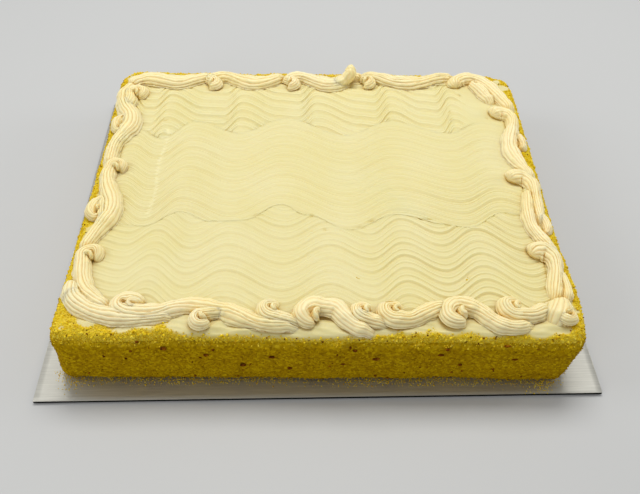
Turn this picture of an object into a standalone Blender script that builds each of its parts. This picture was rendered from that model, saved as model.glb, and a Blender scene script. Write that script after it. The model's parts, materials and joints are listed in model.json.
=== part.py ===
"""A lemon sheet cake on its card board: crumb coated sides, a combed icing top and a piped scroll border.

The frame is the board's: +X to the right along its long side, +Y to its back, +Z up, with z = 0 under the
board. Lengths are in metres. The cake lies a little turned on the board, so its own places are written in the
cake's frame in millimetres, from the middle of the cake and from the board's top, and are turned at the end.
"""

import math

import bmesh
import bpy
from mathutils import Matrix, Vector

MM = 0.001
GAP = 0.3  # clearance between neighbouring pieces, in millimetres

BOARD_WIDTH = 368.0
BOARD_DEPTH = 310.0
BOARD_THICK = 2.0
BOARD_EDGE_BEVEL = 0.25

CAKE_WIDTH = 330.0
CAKE_DEPTH = 280.0
CAKE_TURN_DEG = -1.33
CAKE_SHIFT = (1.25, -5.1)
FRONT_CORNER = 11.0
BACK_CORNER = 25.0
CORNER_STEPS = 6
SIDE_STEP = 26.0

SIDES_TOP = 47.0
ICING_TOP = 50.5
BORDER_HEIGHT_SHARE = 0.64

# The comb's teeth repeat every COMB_PITCH. COMB_TEETH gives, from the front of each repeat, where the ridges and
# grooves lie and how deep they are: two ridges, with a deep groove in the wide gap and a shallow one in the other.
COMB_PITCH = 11.15
COMB_TEETH = ((1.9, 0.0), (5.6, 1.2), (8.5, 0.0), (10.6, 0.55))
COMB_COLUMNS = 24
COMB_HALF_WIDTH = 147.0
COMB_FRONT = -114.0
COMB_BACK = 115.0
COMB_FADE = 8.0
PASS_CROWDING = 0.25
SHORTEST_LINE = 0.2

# A rope is swept in pieces this long, or turning this far. Its section is half of a star: the ridges reach the
# full radius and the grooves a share of it, from a low foot on one side to the other.
ROPE_STEP = 11.0
ROPE_TURN_DEG = 48.0
ROPE_RIDGES = 4
ROPE_GROOVE = 0.8
ROPE_FOOT_DEG = 14.0
ROPE_FOOT_WIDTH = 0.82
ROPE_SHOULDER = 0.1
TIGHTEST_BEND = 0.92
ROPE_START = 0.72
SCROLL_TAIL_START = 0.9
ROPE_END = 0.58
ROPE_TAPER_FROM = 0.72
LIFT_ENDS_AT = 0.35
LAYER_STEP = 0.04

# The head of a scroll is a mound of terraces, each given by its reach and its height as shares of the whole.
HEAD_SIDES = 9
HEAD_OFF_CENTRE = 0.13
HEAD_REACH = 0.46
HEAD_RINGS = ((1.0, 0.0), (0.97, 0.5), (0.76, 0.88), (0.61, 0.72), (0.38, 1.0))
CURL_STEPS = 2
CURL_STEP_SHARE = 0.2

# The comb was drawn over the icing in three passes, each with its own waves: the places (x, y) where its lines
# turn. The middle pass came last. Its front edge cut off the front pass and its back edge the back pass.
FRONT_PASS = ((-152, 17), (-129, 11.3), (-110, 25.1), (-86, 9.1), (-61, 23.5), (-23, 7), (8, 23.6), (35.5, 11.3),
              (57.5, 26.3), (84, 13), (109, 28.3), (140, 9), (155, 14))
MIDDLE_PASS = ((-143, -8), (-121.5, -21.5), (-97, 0.8), (-62, -14), (-26, 4.6), (22, -15.5), (57.5, 2.6),
               (103, -11.8), (131, 2.3), (155, -5))
BACK_PASS = ((-152, 8), (-139, -8), (-133, -8), (-121, 10), (-93, -7), (-76, -8), (-62, 10), (-32, -7), (-16, -9),
             (-1, 10), (33, -7), (46, -9), (60, 10), (85, -6), (97, -8), (110, 10), (128, -4), (155, -6))
FRONT_EDGE = ((-150, -45), (-120, -47), (-97, -33), (-75, -42), (-53, -41), (-26, -25), (-8, -35), (22, -49),
              (55, -34), (88, -43), (105, -46), (131, -31), (150, -36))
BACK_EDGE = 68.0

# How far the outline at each height stands out from the plain outline, as front, right, back and left.
SIDES_LAYERS = (
    (GAP, (-1.9, -8.2, -2.0, 2.7)),
    (3.0, (-1.1, -7.2, -1.2, 3.4)),
    (16.0, (0.4, -3.6, 0.4, 3.0)),
    (32.0, (0.9, -0.6, 0.8, 1.4)),
    (43.0, (0.3, 0.3, 0.3, 0.3)),
    (SIDES_TOP, (-1.2, -0.8, -0.8, -0.8)),
)
ICING_LAYERS = (
    (SIDES_TOP + GAP, (-1.6, -1.2, -1.2, -1.2)),
    (49.0, (-2.4, -1.7, -1.7, -1.7)),
    (50.0, (-3.8, -2.5, -2.5, -2.5)),
    (ICING_TOP, (-5.4, -3.5, -3.5, -3.5)),
)

# The piped ropes in the order they lie. A scroll starts with a head, given by its middle, the radius that the
# rope's middle runs at, the bearing where it starts and how far it turns, both in degrees and anticlockwise.
# Then come the places its tail runs through, its width, and how much the rope under it lifts the head.
ROPES = (
    ("corner_head", None, ((-144, 111), (-145.5, 102), (-149, 92), (-153, 82), (-153, 74)), 14.0, 0.4),
    ("left_upper", None, ((-158, 107), (-159, 97), (-156, 86), (-151, 76), (-147.5, 66), (-147.5, 57),
                          (-151, 46), (-155, 34), (-157, 22), (-156, 10)), 15.0, 0.0),
    ("left_bud", (-157, 57, 4.2, -60, -260), ((-152, 48),), 9.0, 1.3),
    ("left_middle", (-148.5, 9, 4.8, -60, 240), ((-154.5, 0), (-151, -11), (-146.5, -22), (-144, -34),
                     (-146, -45), (-151, -56), (-155.5, -66), (-158, -75)), 13.0, 0.7),
    ("left_outer", (-156, -36, 4.2, -60, -270), ((-151, -46), (-153, -55)), 9.0, 1.2),
    ("left_lower", (-149.5, -77, 5.2, -60, 240), ((-155, -86), (-152, -97), (-147, -108), (-138.5, -118.5),
                    (-127, -125.5), (-113, -128.5), (-99, -126.5), (-88, -121.5)), 13.0, 0.8),
    ("corner_left", (-153.5, -115, 3.8, 60, 300), ((-146, -119),), 9.0, 0.3),
    ("front_one", (-116, -118, 6.0, 30, 240), ((-100, -121.5), (-88, -117), (-75, -116), (-62, -118.5),
                   (-50, -123), (-38, -127.5), (-24, -130), (-10, -130.5)), 14.0, 0.7),
    ("front_hook", (-70.5, -127, 4.6, -30, -240), ((-62, -120.5),), 9.0, 1.0),
    ("front_two", (-27, -121, 5.5, 45, 225), ((-16, -127.5), (-8, -128)), 11.0, 1.2),
    ("front_three", (-1, -124.5, 7.0, -60, -230), ((10, -119), (17, -126.5), (24, -131.5), (33, -132)),
     13.5, 1.4),
    ("front_four", (29, -122, 5.2, 40, 230), ((36, -127.5), (46, -128)), 11.0, 0.8),
    ("front_five", (48, -121.5, 5.5, 30, 250), ((57, -125.5), (65, -119.5), (73, -115), (82, -113.5)),
     12.0, 1.3),
    ("front_six", (88.5, -122, 7.0, -40, -240), ((97, -118), (104, -125), (111, -129.3), (121, -129),
                   (131, -125.5)), 13.5, 1.5),
    ("front_seven", (123, -118, 5.8, 40, 240), ((133, -120.5), (140, -116.5), (149, -115)), 11.5, 0.9),
    ("corner_right", (149.5, -121, 6.5, 0, 230), ((148, -129),), 13.0, 1.0),
    ("corner_curl", (154.5, -122.5, 3.6, 90, -290), ((151, -125),), 8.0, 1.6),
    ("back_one", None, ((-154, 114), (-144, 121), (-133, 120.5), (-122, 117.5), (-111, 118.5), (-101, 123),
                        (-91, 127)), 15.5, 0.2),
    ("back_two", None, ((-91, 111.5), (-90, 118), (-84, 125), (-74, 125), (-64, 120), (-54, 117.5),
                        (-44, 120), (-35, 125), (-27, 128)), 15.0, 0.9),
    ("back_three", None, ((-26, 112.5), (-24, 119), (-18, 125.5), (-9, 125), (0, 119.5), (9, 116.5),
                          (18, 117), (24, 121), (26, 127)), 15.0, 1.0),
    ("back_four", None, ((38, 117), (37, 122), (42, 128), (52, 127), (63, 122.5), (75, 120), (87, 121),
                         (98, 126), (108, 128.5), (119, 127)), 15.0, 0.8),
    ("back_bridge", None, ((20, 126), (31, 128), (42, 127)), 12.0, 0.15),
    ("back_five", None, ((117, 115), (117, 121.5), (124, 127), (134, 126), (142, 119), (147, 109),
                         (151, 99), (155, 89), (156, 79)), 14.5, 1.1),
    ("back_fringe", None, ((129, 121), (136, 112), (140.5, 102), (145, 94)), 11.0, 0.35),
    ("right_upper", (151.5, 76, 5.0, 220, -220), ((155.5, 63), (151.5, 50), (147.5, 38), (147, 27),
                     (150, 16), (154.5, 6), (156, -5)), 13.0, 0.6),
    ("right_bud", None, ((155, 30), (158, 38), (156.5, 47), (152, 54)), 10.0, 0.25),
    ("right_middle", (149.5, -2.5, 5.5, 240, -240), ((156.5, -14), (153.5, -27), (149, -38), (147.5, -48),
                      (151, -58), (155.5, -67), (156, -77)), 13.0, 1.0),
    ("right_lower", (149.5, -71.5, 5.3, 250, -250), ((155.5, -84), (153.5, -94), (151, -104), (150, -113)),
     13.0, 1.2),
)
FRONT_CUT_LEFT = -99.0
FRONT_CUT_RIGHT = -106.5
BACK_CUT_LEFT = 108.6
BACK_CUT_RIGHT = 95.8
CUT_GAP = 0.4

# The last rope of the back was pulled up as the tip left it, and stands as a hooked peak.
PEAK_ROUTE = ((16.0, 117.5, 3.6), (22.0, 119.0, 5.2), (26.8, 121.5, 9.8), (26.5, 124.0, 15.0))
PEAK_WIDTHS = (8.0, 9.5, 9.5, 7.5)
PEAK_SIDES = 8
PEAK_TIP = (-1.2, 0.2, 1.6)


def clear_scene():
    for obj in list(bpy.data.objects):
        bpy.data.objects.remove(obj, do_unlink=True)


def material(name, colour, roughness):
    made = bpy.data.materials.new(name)
    made.use_nodes = True
    shader = made.node_tree.nodes["Principled BSDF"]
    shader.inputs["Base Color"].default_value = (*colour, 1.0)
    shader.inputs["Roughness"].default_value = roughness
    shader.inputs["Metallic"].default_value = 0.0
    return made


def make_object(name, bm, finish):
    """A named object from a closed bmesh, with its faces pointing out."""
    bmesh.ops.recalc_face_normals(bm, faces=bm.faces[:])
    mesh = bpy.data.meshes.new(name)
    bm.to_mesh(mesh)
    bm.free()
    mesh.materials.append(finish)
    obj = bpy.data.objects.new(name, mesh)
    bpy.context.collection.objects.link(obj)
    return obj


def smooth_step(low, high, value):
    share = min(max((value - low) / (high - low), 0.0), 1.0)
    return share * share * (3.0 - 2.0 * share)


def cake_to_board():
    """The matrix from the cake's millimetres to the board's metres."""
    turn = Matrix.Rotation(math.radians(CAKE_TURN_DEG), 4, "Z")
    shift = Matrix.Translation((CAKE_SHIFT[0] * MM, CAKE_SHIFT[1] * MM, BOARD_THICK * MM))
    return shift @ turn @ Matrix.Scale(MM, 4)


def plain_outline():
    """Points round the cake, anticlockwise from the front left corner, each with its outward direction."""
    half_w, half_d = CAKE_WIDTH / 2, CAKE_DEPTH / 2
    corners = (
        (-half_w, -half_d, FRONT_CORNER, 180),
        (half_w, -half_d, FRONT_CORNER, 270),
        (half_w, half_d, BACK_CORNER, 0),
        (-half_w, half_d, BACK_CORNER, 90),
    )
    arcs = []
    for x, y, radius, first in corners:
        centre = Vector((x - math.copysign(radius, x), y - math.copysign(radius, y)))
        arc = []
        for step in range(CORNER_STEPS + 1):
            angle = math.radians(first + 90 * step / CORNER_STEPS)
            way = Vector((math.cos(angle), math.sin(angle)))
            arc.append((centre + radius * way, way))
        arcs.append(arc)
    points = []
    for arc, following in zip(arcs, arcs[1:] + arcs[:1]):
        points += arc
        start, end = arc[-1][0], following[0][0]
        pieces = max(2, round((end - start).length / SIDE_STEP))
        for step in range(1, pieces):
            points.append((start.lerp(end, step / pieces), arc[-1][1]))
    return points


def wobble(x, y, z):
    """The unevenness of a hand coated side: long and short waves round the cake that change with height."""
    along = 0.9 * math.sin(x / 23.0 + 1.3) + 0.7 * math.sin(x / 9.7 + y / 31.0) + 0.8 * math.sin(y / 19.0 + 0.4)
    return along * (0.35 + 0.25 * math.sin(z / 14.0 + x / 60.0))


def outline_at(z, stands_out):
    """The cake's outline at one height, where stands_out gives the front, right, back and left sides."""
    front, right, back, left = stands_out
    loop = []
    for place, way in plain_outline():
        across = (right if way.x > 0 else left) * way.x * way.x
        along = (back if way.y > 0 else front) * way.y * way.y
        moved = place + way * (across + along + wobble(place.x, place.y, z))
        loop.append(Vector((moved.x, moved.y, z)))
    return loop


def bridge(bm, lower, upper):
    count = len(lower)
    for i in range(count):
        j = (i + 1) % count
        bm.faces.new((lower[i], lower[j], upper[j], upper[i]))


def stacked(bm, layers):
    """Rings of vertices up through the layers, joined side to side. Returns the first and last ring."""
    rings = [[bm.verts.new(point) for point in outline_at(z, stands_out)] for z, stands_out in layers]
    for lower, upper in zip(rings, rings[1:]):
        bridge(bm, lower, upper)
    return rings[0], rings[-1]


def build_board(finish):
    bm = bmesh.new()
    bmesh.ops.create_cube(bm, size=1.0)
    bmesh.ops.scale(bm, vec=(BOARD_WIDTH * MM, BOARD_DEPTH * MM, BOARD_THICK * MM), verts=bm.verts[:])
    bmesh.ops.translate(bm, vec=(0, 0, BOARD_THICK * MM / 2), verts=bm.verts[:])
    board = make_object("board", bm, finish)
    edge = board.modifiers.new("edge", "BEVEL")
    edge.width = BOARD_EDGE_BEVEL * MM
    edge.segments = 1
    return board


def build_cake(finish):
    bm = bmesh.new()
    bottom, top = stacked(bm, SIDES_LAYERS)
    bm.faces.new(bottom[::-1])
    bm.faces.new(top)
    bmesh.ops.transform(bm, matrix=cake_to_board(), verts=bm.verts[:])
    return make_object("cake", bm, finish)


def wave(turns, x):
    """The height of a wave at x, half a cosine from each turn to the next."""
    for (start_x, start_y), (end_x, end_y) in zip(turns, turns[1:]):
        if x <= end_x:
            share = max((x - start_x) / (end_x - start_x), 0.0)
            return start_y + (end_y - start_y) * (1.0 - math.cos(math.pi * share)) / 2
    return turns[-1][1]


def comb_lines(turns, stations, lows, highs):
    """A pass's lines as (depth, places along y) from the front, all that run far enough between its edges."""
    waves = [wave(turns, x) for x in stations]
    first = math.floor((min(lows) - max(waves)) / COMB_PITCH)
    last = math.ceil((max(highs) - min(waves)) / COMB_PITCH)
    lines = []
    for repeat in range(first, last):
        for place, depth in COMB_TEETH:
            line = [repeat * COMB_PITCH + place + up for up in waves]
            clear = sum(low < y < high for low, y, high in zip(lows, line, highs))
            if clear > SHORTEST_LINE * len(stations):
                lines.append((depth, line))
    return lines


def comb_rows():
    """Rows of (x, y, z) across the top, a ridge and a groove in turn, from the front to the back.

    A line that would cross the edge of the middle pass, or leave the combed field, crowds against it and loses
    its groove there.
    """
    stations = [-COMB_HALF_WIDTH + 2 * COMB_HALF_WIDTH * i / COMB_COLUMNS for i in range(COMB_COLUMNS + 1)]
    front_edge = [wave(FRONT_EDGE, x) for x in stations]
    back_edge = [wave(MIDDLE_PASS, x) + BACK_EDGE for x in stations]
    placed = []
    for turns, lows, highs in (
        (FRONT_PASS, [COMB_FRONT] * len(stations), front_edge),
        (MIDDLE_PASS, front_edge, back_edge),
        (BACK_PASS, back_edge, [COMB_BACK] * len(stations)),
    ):
        lines = comb_lines(turns, stations, lows, highs)
        for number, (depth, line) in enumerate(lines, 1):
            left_over = len(lines) - number + 1
            row = []
            for x, y, low, high in zip(stations, line, lows, highs):
                lowest = low + PASS_CROWDING * number
                highest = high - PASS_CROWDING * left_over
                clear = lowest < y < highest
                inside = smooth_step(COMB_HALF_WIDTH, COMB_HALF_WIDTH - COMB_FADE, abs(x))
                height = ICING_TOP - (depth * inside if clear else 0.0)
                row.append([x, min(max(y, lowest), highest), height])
            placed.append(row)
    return placed


def build_icing(finish):
    bm = bmesh.new()
    bottom, rim = stacked(bm, ICING_LAYERS)
    bm.faces.new(bottom[::-1])
    rows = comb_rows()
    for row in (rows[0], rows[-1]):
        for point in row:
            point[2] = ICING_TOP
    grid = [[bm.verts.new(point) for point in row] for row in rows]
    for lower, upper in zip(grid, grid[1:]):
        for i in range(COMB_COLUMNS):
            bm.faces.new((lower[i], lower[i + 1], upper[i + 1], upper[i]))
    around = [edge for edge in bm.edges if edge.is_boundary]
    bmesh.ops.triangle_fill(bm, use_beauty=True, edges=around, normal=(0, 0, 1))
    bmesh.ops.transform(bm, matrix=cake_to_board(), verts=bm.verts[:])
    return make_object("icing", bm, finish)


def curl(x, y, radius, start_deg, turn_deg):
    """Places round the last part of a scroll's head, where the rope comes out of it into the tail."""
    shares = [1 - CURL_STEP_SHARE * step for step in range(CURL_STEPS, -1, -1)]
    bearings = [math.radians(start_deg + turn_deg * share) for share in shares]
    return tuple((x + radius * math.cos(bearing), y + radius * math.sin(bearing)) for bearing in bearings)


def smooth_route(route):
    """Points on a smooth curve through the route's places, closer together where it bends."""
    places = [Vector((*place, 0.0)) for place in route]
    ends = [2 * places[0] - places[1], *places, 2 * places[-1] - places[-2]]
    fine = []
    for before, start, end, after in zip(ends, ends[1:], ends[2:], ends[3:]):
        for i in range(12):
            t = i / 12
            fine.append(0.5 * (2 * start + (end - before) * t + (2 * before - 5 * start + 4 * end - after) * t * t
                               + (3 * start - before - 3 * end + after) * t ** 3))
    fine.append(places[-1])
    reached = [0.0]
    for i, (a, b) in enumerate(zip(fine, fine[1:])):
        turned = (b - a).angle(fine[i + 2] - b, 0.0) if i + 2 < len(fine) else 0.0
        reached.append(reached[-1] + (b - a).length / ROPE_STEP + math.degrees(turned) / ROPE_TURN_DEG)
    pieces = max(3, round(reached[-1]))
    points, at = [fine[0]], 0
    for piece in range(1, pieces):
        target = reached[-1] * piece / pieces
        while reached[at + 1] < target:
            at += 1
        share = (target - reached[at]) / (reached[at + 1] - reached[at])
        points.append(fine[at].lerp(fine[at + 1], share))
    points.append(fine[-1])
    return points


def bend_radius(before, here, after):
    """The radius of the circle through three places, positive where the route turns left."""
    a, b, c = (here - before), (after - here), (after - before)
    area = a.x * b.y - a.y * b.x
    if abs(area) < 1e-6:
        return 1e6
    return a.length * b.length * c.length / (2 * area)


def star_section(height, left_half, right_half):
    """Half of a star drawn across the rope: a flat foot, and ridges with grooves between them over the top."""
    points = [(right_half * ROPE_FOOT_WIDTH, 0.0)]
    steps = 2 * ROPE_RIDGES - 2
    for i in range(steps + 1):
        angle = math.radians(ROPE_FOOT_DEG + (180 - 2 * ROPE_FOOT_DEG) * i / steps)
        reach = 1.0 if i % 2 == 0 else ROPE_GROOVE
        half = right_half if math.cos(angle) > 0 else left_half
        up = ROPE_SHOULDER + (1 - ROPE_SHOULDER) * reach * math.sin(angle)
        points.append((half * reach * math.cos(angle), height * up))
    points.append((-left_half * ROPE_FOOT_WIDTH, 0.0))
    return points


def rope_mesh(route, width, lift, foot, start_share):
    """A piped rope: a star section swept along the route, blunt where it starts and tapering where it ends."""
    points = smooth_route(route)
    bm = bmesh.new()
    rings = []
    last = len(points) - 1
    for i, here in enumerate(points):
        before, after = points[max(i - 1, 0)], points[min(i + 1, last)]
        along = (after - before).normalized()
        left = Vector((-along.y, along.x, 0.0))
        share = i / last
        taper = 1 - (1 - ROPE_END) * smooth_step(ROPE_TAPER_FROM, 1.0, share)
        size = min(1.0, start_share + (1 - start_share) * i) * taper
        halves = [width / 2 * size, width / 2 * size]
        if 0 < i < last:
            radius = bend_radius(before, here, after)
            inside = 0 if radius > 0 else 1
            halves[inside] = min(halves[inside], TIGHTEST_BEND * abs(radius))
        height = width * BORDER_HEIGHT_SHARE * size
        base = foot + lift * (1.0 - smooth_step(0.0, LIFT_ENDS_AT, share))
        ring = []
        for across, up in star_section(height, *halves):
            place = here - left * across
            ring.append(bm.verts.new((place.x, place.y, base + up)))
        rings.append(ring)
    for first, second in zip(rings, rings[1:]):
        bridge(bm, first, second)
    bm.faces.new(rings[0][::-1])
    bm.faces.new(rings[-1])
    bmesh.ops.recalc_face_normals(bm, faces=bm.faces[:])
    return bm


def head_mesh(x, y, radius, height, start_deg, foot):
    """The head of a scroll: a mound of rope with its turns as terraces that run off centre as they rise."""
    bm = bmesh.new()
    toward = math.radians(start_deg)
    rings = []
    for reach, up in HEAD_RINGS:
        off = HEAD_OFF_CENTRE * radius * (1 - reach)
        middle_x, middle_y = x + off * math.cos(toward), y + off * math.sin(toward)
        ring = []
        for k in range(HEAD_SIDES):
            bearing = toward + math.tau * k / HEAD_SIDES
            ring.append(bm.verts.new((middle_x + radius * reach * math.cos(bearing),
                                      middle_y + radius * reach * math.sin(bearing), foot + height * up)))
        rings.append(ring)
    for first, second in zip(rings, rings[1:]):
        bridge(bm, first, second)
    bm.faces.new(rings[0][::-1])
    bm.faces.new(rings[-1])
    return bm


def rope_pieces(number, head, tail, width, lift):
    """The meshes of one rope: a plain rope, or a scroll's head and its tail."""
    foot = ICING_TOP + GAP + LAYER_STEP * number
    if head is None:
        return [rope_mesh(tail, width, lift, foot, ROPE_START)]
    x, y, radius, start_deg, _ = head
    height = width * BORDER_HEIGHT_SHARE + lift
    return [
        head_mesh(x, y, radius + width * HEAD_REACH, height, start_deg, foot + LAYER_STEP / 2),
        rope_mesh(curl(*head) + tail, width, lift, foot, SCROLL_TAIL_START),
    ]


def peak_mesh():
    """The hooked peak: a round horn that bends over as it rises."""
    places = [Vector((x, y, ICING_TOP + GAP + z)) for x, y, z in PEAK_ROUTE]
    bearings = [math.tau * k / PEAK_SIDES for k in range(PEAK_SIDES)]
    bm = bmesh.new()
    rings = []
    for i, (place, width) in enumerate(zip(places, PEAK_WIDTHS)):
        along = (places[min(i + 1, len(places) - 1)] - places[max(i - 1, 0)]).normalized()
        side = along.cross(Vector((0, 1, 0))).normalized()
        front = side.cross(along).normalized()
        rings.append([
            bm.verts.new(place + side * (width / 2 * math.cos(a)) + front * (width / 3 * math.sin(a)))
            for a in bearings
        ])
    for first, second in zip(rings, rings[1:]):
        bridge(bm, first, second)
    bm.faces.new(rings[0][::-1])
    tip = bm.verts.new(places[-1] + Vector(PEAK_TIP))
    for i in range(PEAK_SIDES):
        bm.faces.new((rings[-1][i], rings[-1][(i + 1) % PEAK_SIDES], tip))
    bmesh.ops.recalc_face_normals(bm, faces=bm.faces[:])
    return bm


def trimmed(bm, y, keep_behind):
    """Cuts the mesh along a plane across the cake at y, and closes the cut."""
    way = 1.0 if keep_behind else -1.0
    if all(way * (vert.co.y - y) >= 0 for vert in bm.verts):
        return bm
    everything = bm.verts[:] + bm.edges[:] + bm.faces[:]
    bmesh.ops.bisect_plane(bm, geom=everything, dist=1e-5, plane_co=(0, y, 0), plane_no=(0, -way, 0),
                           clear_outer=True)
    open_edges = [edge for edge in bm.edges if edge.is_boundary]
    if open_edges:
        bmesh.ops.holes_fill(bm, edges=open_edges)
    return bm


def border_part(bm, side):
    """The part of a rope that belongs to one side of the cake, or None."""
    middle_x = sum(vert.co.x for vert in bm.verts) / len(bm.verts)
    front_cut = FRONT_CUT_LEFT if middle_x < 0 else FRONT_CUT_RIGHT
    back_cut = BACK_CUT_LEFT if middle_x < 0 else BACK_CUT_RIGHT
    if side == "front":
        bm = trimmed(bm, front_cut - CUT_GAP / 2, False)
    elif side == "back":
        bm = trimmed(bm, back_cut + CUT_GAP / 2, True)
    elif (side == "left") != (middle_x < 0):
        return None
    else:
        bm = trimmed(bm, front_cut + CUT_GAP / 2, True)
        if bm.verts:
            bm = trimmed(bm, back_cut - CUT_GAP / 2, False)
    return bm if bm.faces else None


def build_border(side, finish):
    """One side of the border: its ropes, cut at the corners and joined into one solid."""
    pieces = []
    for number, (name, head, tail, width, lift) in enumerate(ROPES):
        for mesh in rope_pieces(number, head, tail, width, lift):
            bm = border_part(mesh, side)
            if bm:
                pieces.append(make_object(side + "_" + name, bm, finish))
    if side == "back":
        pieces.append(make_object("back_peak", peak_mesh(), finish))
    border, others = pieces[0], pieces[1:]
    border.name = "border_" + side
    border.data.name = border.name
    group = bpy.data.collections.new("ropes_" + side)
    bpy.context.scene.collection.children.link(group)
    for piece in others:
        bpy.context.collection.objects.unlink(piece)
        group.objects.link(piece)
    union = border.modifiers.new("union", "BOOLEAN")
    union.operation = "UNION"
    union.operand_type = "COLLECTION"
    union.collection = group
    union.solver = "MANIFOLD"
    bpy.context.view_layer.update()
    joined = bpy.data.meshes.new_from_object(border.evaluated_get(bpy.context.evaluated_depsgraph_get()))
    border.modifiers.clear()
    border.data = joined
    joined.name = border.name
    for piece in others:
        bpy.data.objects.remove(piece, do_unlink=True)
    bpy.data.collections.remove(group)
    joined.transform(cake_to_board())
    joined.update()
    return border


clear_scene()
card = material("silver_card", (0.62, 0.62, 0.60), 0.38)
crumb = material("cake_crumb", (0.70, 0.46, 0.02), 0.9)
cream = material("lemon_icing", (0.87, 0.78, 0.42), 0.45)
piped = material("piped_icing", (0.88, 0.76, 0.50), 0.5)
build_board(card)
build_cake(crumb)
build_icing(cream)
for border_side in ("front", "right", "back", "left"):
    build_border(border_side, piped)
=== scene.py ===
# %% [markdown]
# # A lemon sheet cake on its silver board
#
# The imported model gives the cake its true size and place: a board, the cake, a cap of icing and four sides of
# piped border. This script dresses that frame. Each piece below is first described as the real thing, then made
# with the tool that suits it, and at the end it is tied to the part of the frame that it stands for.

import json
import math
from contextlib import contextmanager

import bmesh
import bpy
import numpy as np
from mathutils import Euler, Matrix, Vector

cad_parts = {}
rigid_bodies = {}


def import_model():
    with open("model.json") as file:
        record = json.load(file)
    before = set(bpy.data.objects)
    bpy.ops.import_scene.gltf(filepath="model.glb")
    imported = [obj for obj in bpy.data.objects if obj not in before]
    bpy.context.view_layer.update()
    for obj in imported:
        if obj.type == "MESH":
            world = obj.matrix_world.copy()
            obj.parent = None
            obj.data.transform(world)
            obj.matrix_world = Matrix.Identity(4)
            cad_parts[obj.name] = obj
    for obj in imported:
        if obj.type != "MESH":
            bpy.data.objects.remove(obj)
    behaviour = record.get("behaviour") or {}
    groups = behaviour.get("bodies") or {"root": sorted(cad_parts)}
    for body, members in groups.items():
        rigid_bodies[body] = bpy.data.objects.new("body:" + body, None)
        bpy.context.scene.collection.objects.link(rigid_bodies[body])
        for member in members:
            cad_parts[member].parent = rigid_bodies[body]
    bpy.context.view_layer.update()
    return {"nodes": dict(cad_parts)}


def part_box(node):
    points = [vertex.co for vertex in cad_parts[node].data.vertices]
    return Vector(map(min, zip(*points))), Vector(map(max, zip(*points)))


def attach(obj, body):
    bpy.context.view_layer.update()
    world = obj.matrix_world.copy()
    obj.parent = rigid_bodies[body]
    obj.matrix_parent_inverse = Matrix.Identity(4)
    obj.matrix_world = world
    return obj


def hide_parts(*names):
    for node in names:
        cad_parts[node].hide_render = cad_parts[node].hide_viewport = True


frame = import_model()
print("frame nodes:", sorted(frame["nodes"]))

# %% [markdown]
# The cake lies a little turned on its board, because it was set down by hand. It is easier to think in the cake's
# own millimetres, measured from the middle of the cake and from the top of the board. One matrix takes a finished
# mesh from there to the frame's metres. A piece is turned only once, in its mesh, so its object stays unturned.

# %% From the cake's millimetres to the frame
MM = 0.001
BOARD_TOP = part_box("board")[1].z
CAKE_TURN = Matrix.Rotation(math.radians(-1.33), 4, "Z")
CAKE_SHIFT = Matrix.Translation((1.25 * MM, -5.1 * MM, BOARD_TOP))
TO_FRAME = CAKE_SHIFT @ CAKE_TURN
ICING_TOP = 50.5
CRUMB_TOP = 47.0
HALF_WIDTH = 165.0
HALF_DEPTH = 140.0
print("the board's top is at", round(BOARD_TOP / MM, 2), "mm")

# %% [markdown]
# The camera stands where the photographer stood, above the front edge and looking down at nearly fifty degrees.
# Its place was found from the corners of the cake and the board, so it is given in the cake's frame as well.

# %% Camera
def new_object(name, data):
    """Puts an object into the scene."""
    thing = bpy.data.objects.new(name, data)
    bpy.context.scene.collection.objects.link(thing)
    return thing


# The fitted place in metres, and the fitted turns in degrees.
CAMERA_PLACE, CAMERA_TURNS = (-0.0046, -0.3796, 0.4031), (41.7406, -0.8212, -0.1517)
camera_data = bpy.data.cameras.new("camera")
camera_data.sensor_width = 36.0
camera_data.lens = 39.54
camera = new_object("camera", camera_data)
camera_turn = Euler([math.radians(turn) for turn in CAMERA_TURNS]).to_matrix().to_4x4()
camera.matrix_world = TO_FRAME @ Matrix.Translation(CAMERA_PLACE) @ camera_turn
bpy.context.scene.camera = camera
print("camera at", [round(value, 3) for value in camera.matrix_world.translation])

# %% [markdown]
# Some small habits save work later. Everything is deselected before a new piece is added, because an operator
# acts on all that is selected. Modifiers are applied in order, so that the shape is in the mesh. Points are read
# and written in millimetres, all at once. A finished piece is moved into the frame in its mesh, rides on the body
# "root", and hides the plain solid that it stands for.


# %% Helpers for pieces
def deselect():
    bpy.ops.object.select_all(action="DESELECT")


def make_active(piece):
    deselect()
    piece.select_set(True)
    bpy.context.view_layer.objects.active = piece


def added(name, operator, **settings):
    """Adds a piece with an operator and names it."""
    deselect()
    operator(**settings)
    piece = bpy.context.object
    piece.name = piece.data.name = name
    return piece


@contextmanager
def edit_mode():
    """What stands under "with edit_mode():" is done in edit mode."""
    bpy.ops.object.mode_set(mode="EDIT")
    yield
    bpy.ops.object.mode_set(mode="OBJECT")


def apply_modifiers(piece):
    make_active(piece)
    for modifier in list(piece.modifiers):
        bpy.ops.object.modifier_apply(modifier=modifier.name)


def read_points(piece):
    """The points of a piece in millimetres, one row for each."""
    points = np.empty(len(piece.data.vertices) * 3)
    piece.data.vertices.foreach_get("co", points)
    return points.reshape(-1, 3) / MM


def write_points(piece, points):
    piece.data.vertices.foreach_set("co", (points * MM).ravel())
    piece.data.update()


def store(piece, name, values):
    """Keeps a number on each point of a piece."""
    attribute = piece.data.attributes.get(name) or piece.data.attributes.new(name, "FLOAT", "POINT")
    attribute.data.foreach_set("value", np.asarray(values, float))


def ripple(piece, kind, grain_mm, height_mm, direction="NORMAL", **settings):
    """Raises and sinks a surface by a procedural pattern, as an applied Displace modifier."""
    pattern = bpy.data.textures.new(piece.name + "_" + kind.lower(), kind)
    pattern.noise_scale = grain_mm * MM
    for name, value in settings.items():
        setattr(pattern, name, value)
    displace = piece.modifiers.new("ripple", "DISPLACE")
    displace.texture = pattern
    displace.texture_coords = "LOCAL"
    displace.direction = direction
    displace.strength = height_mm * MM
    apply_modifiers(piece)


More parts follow.
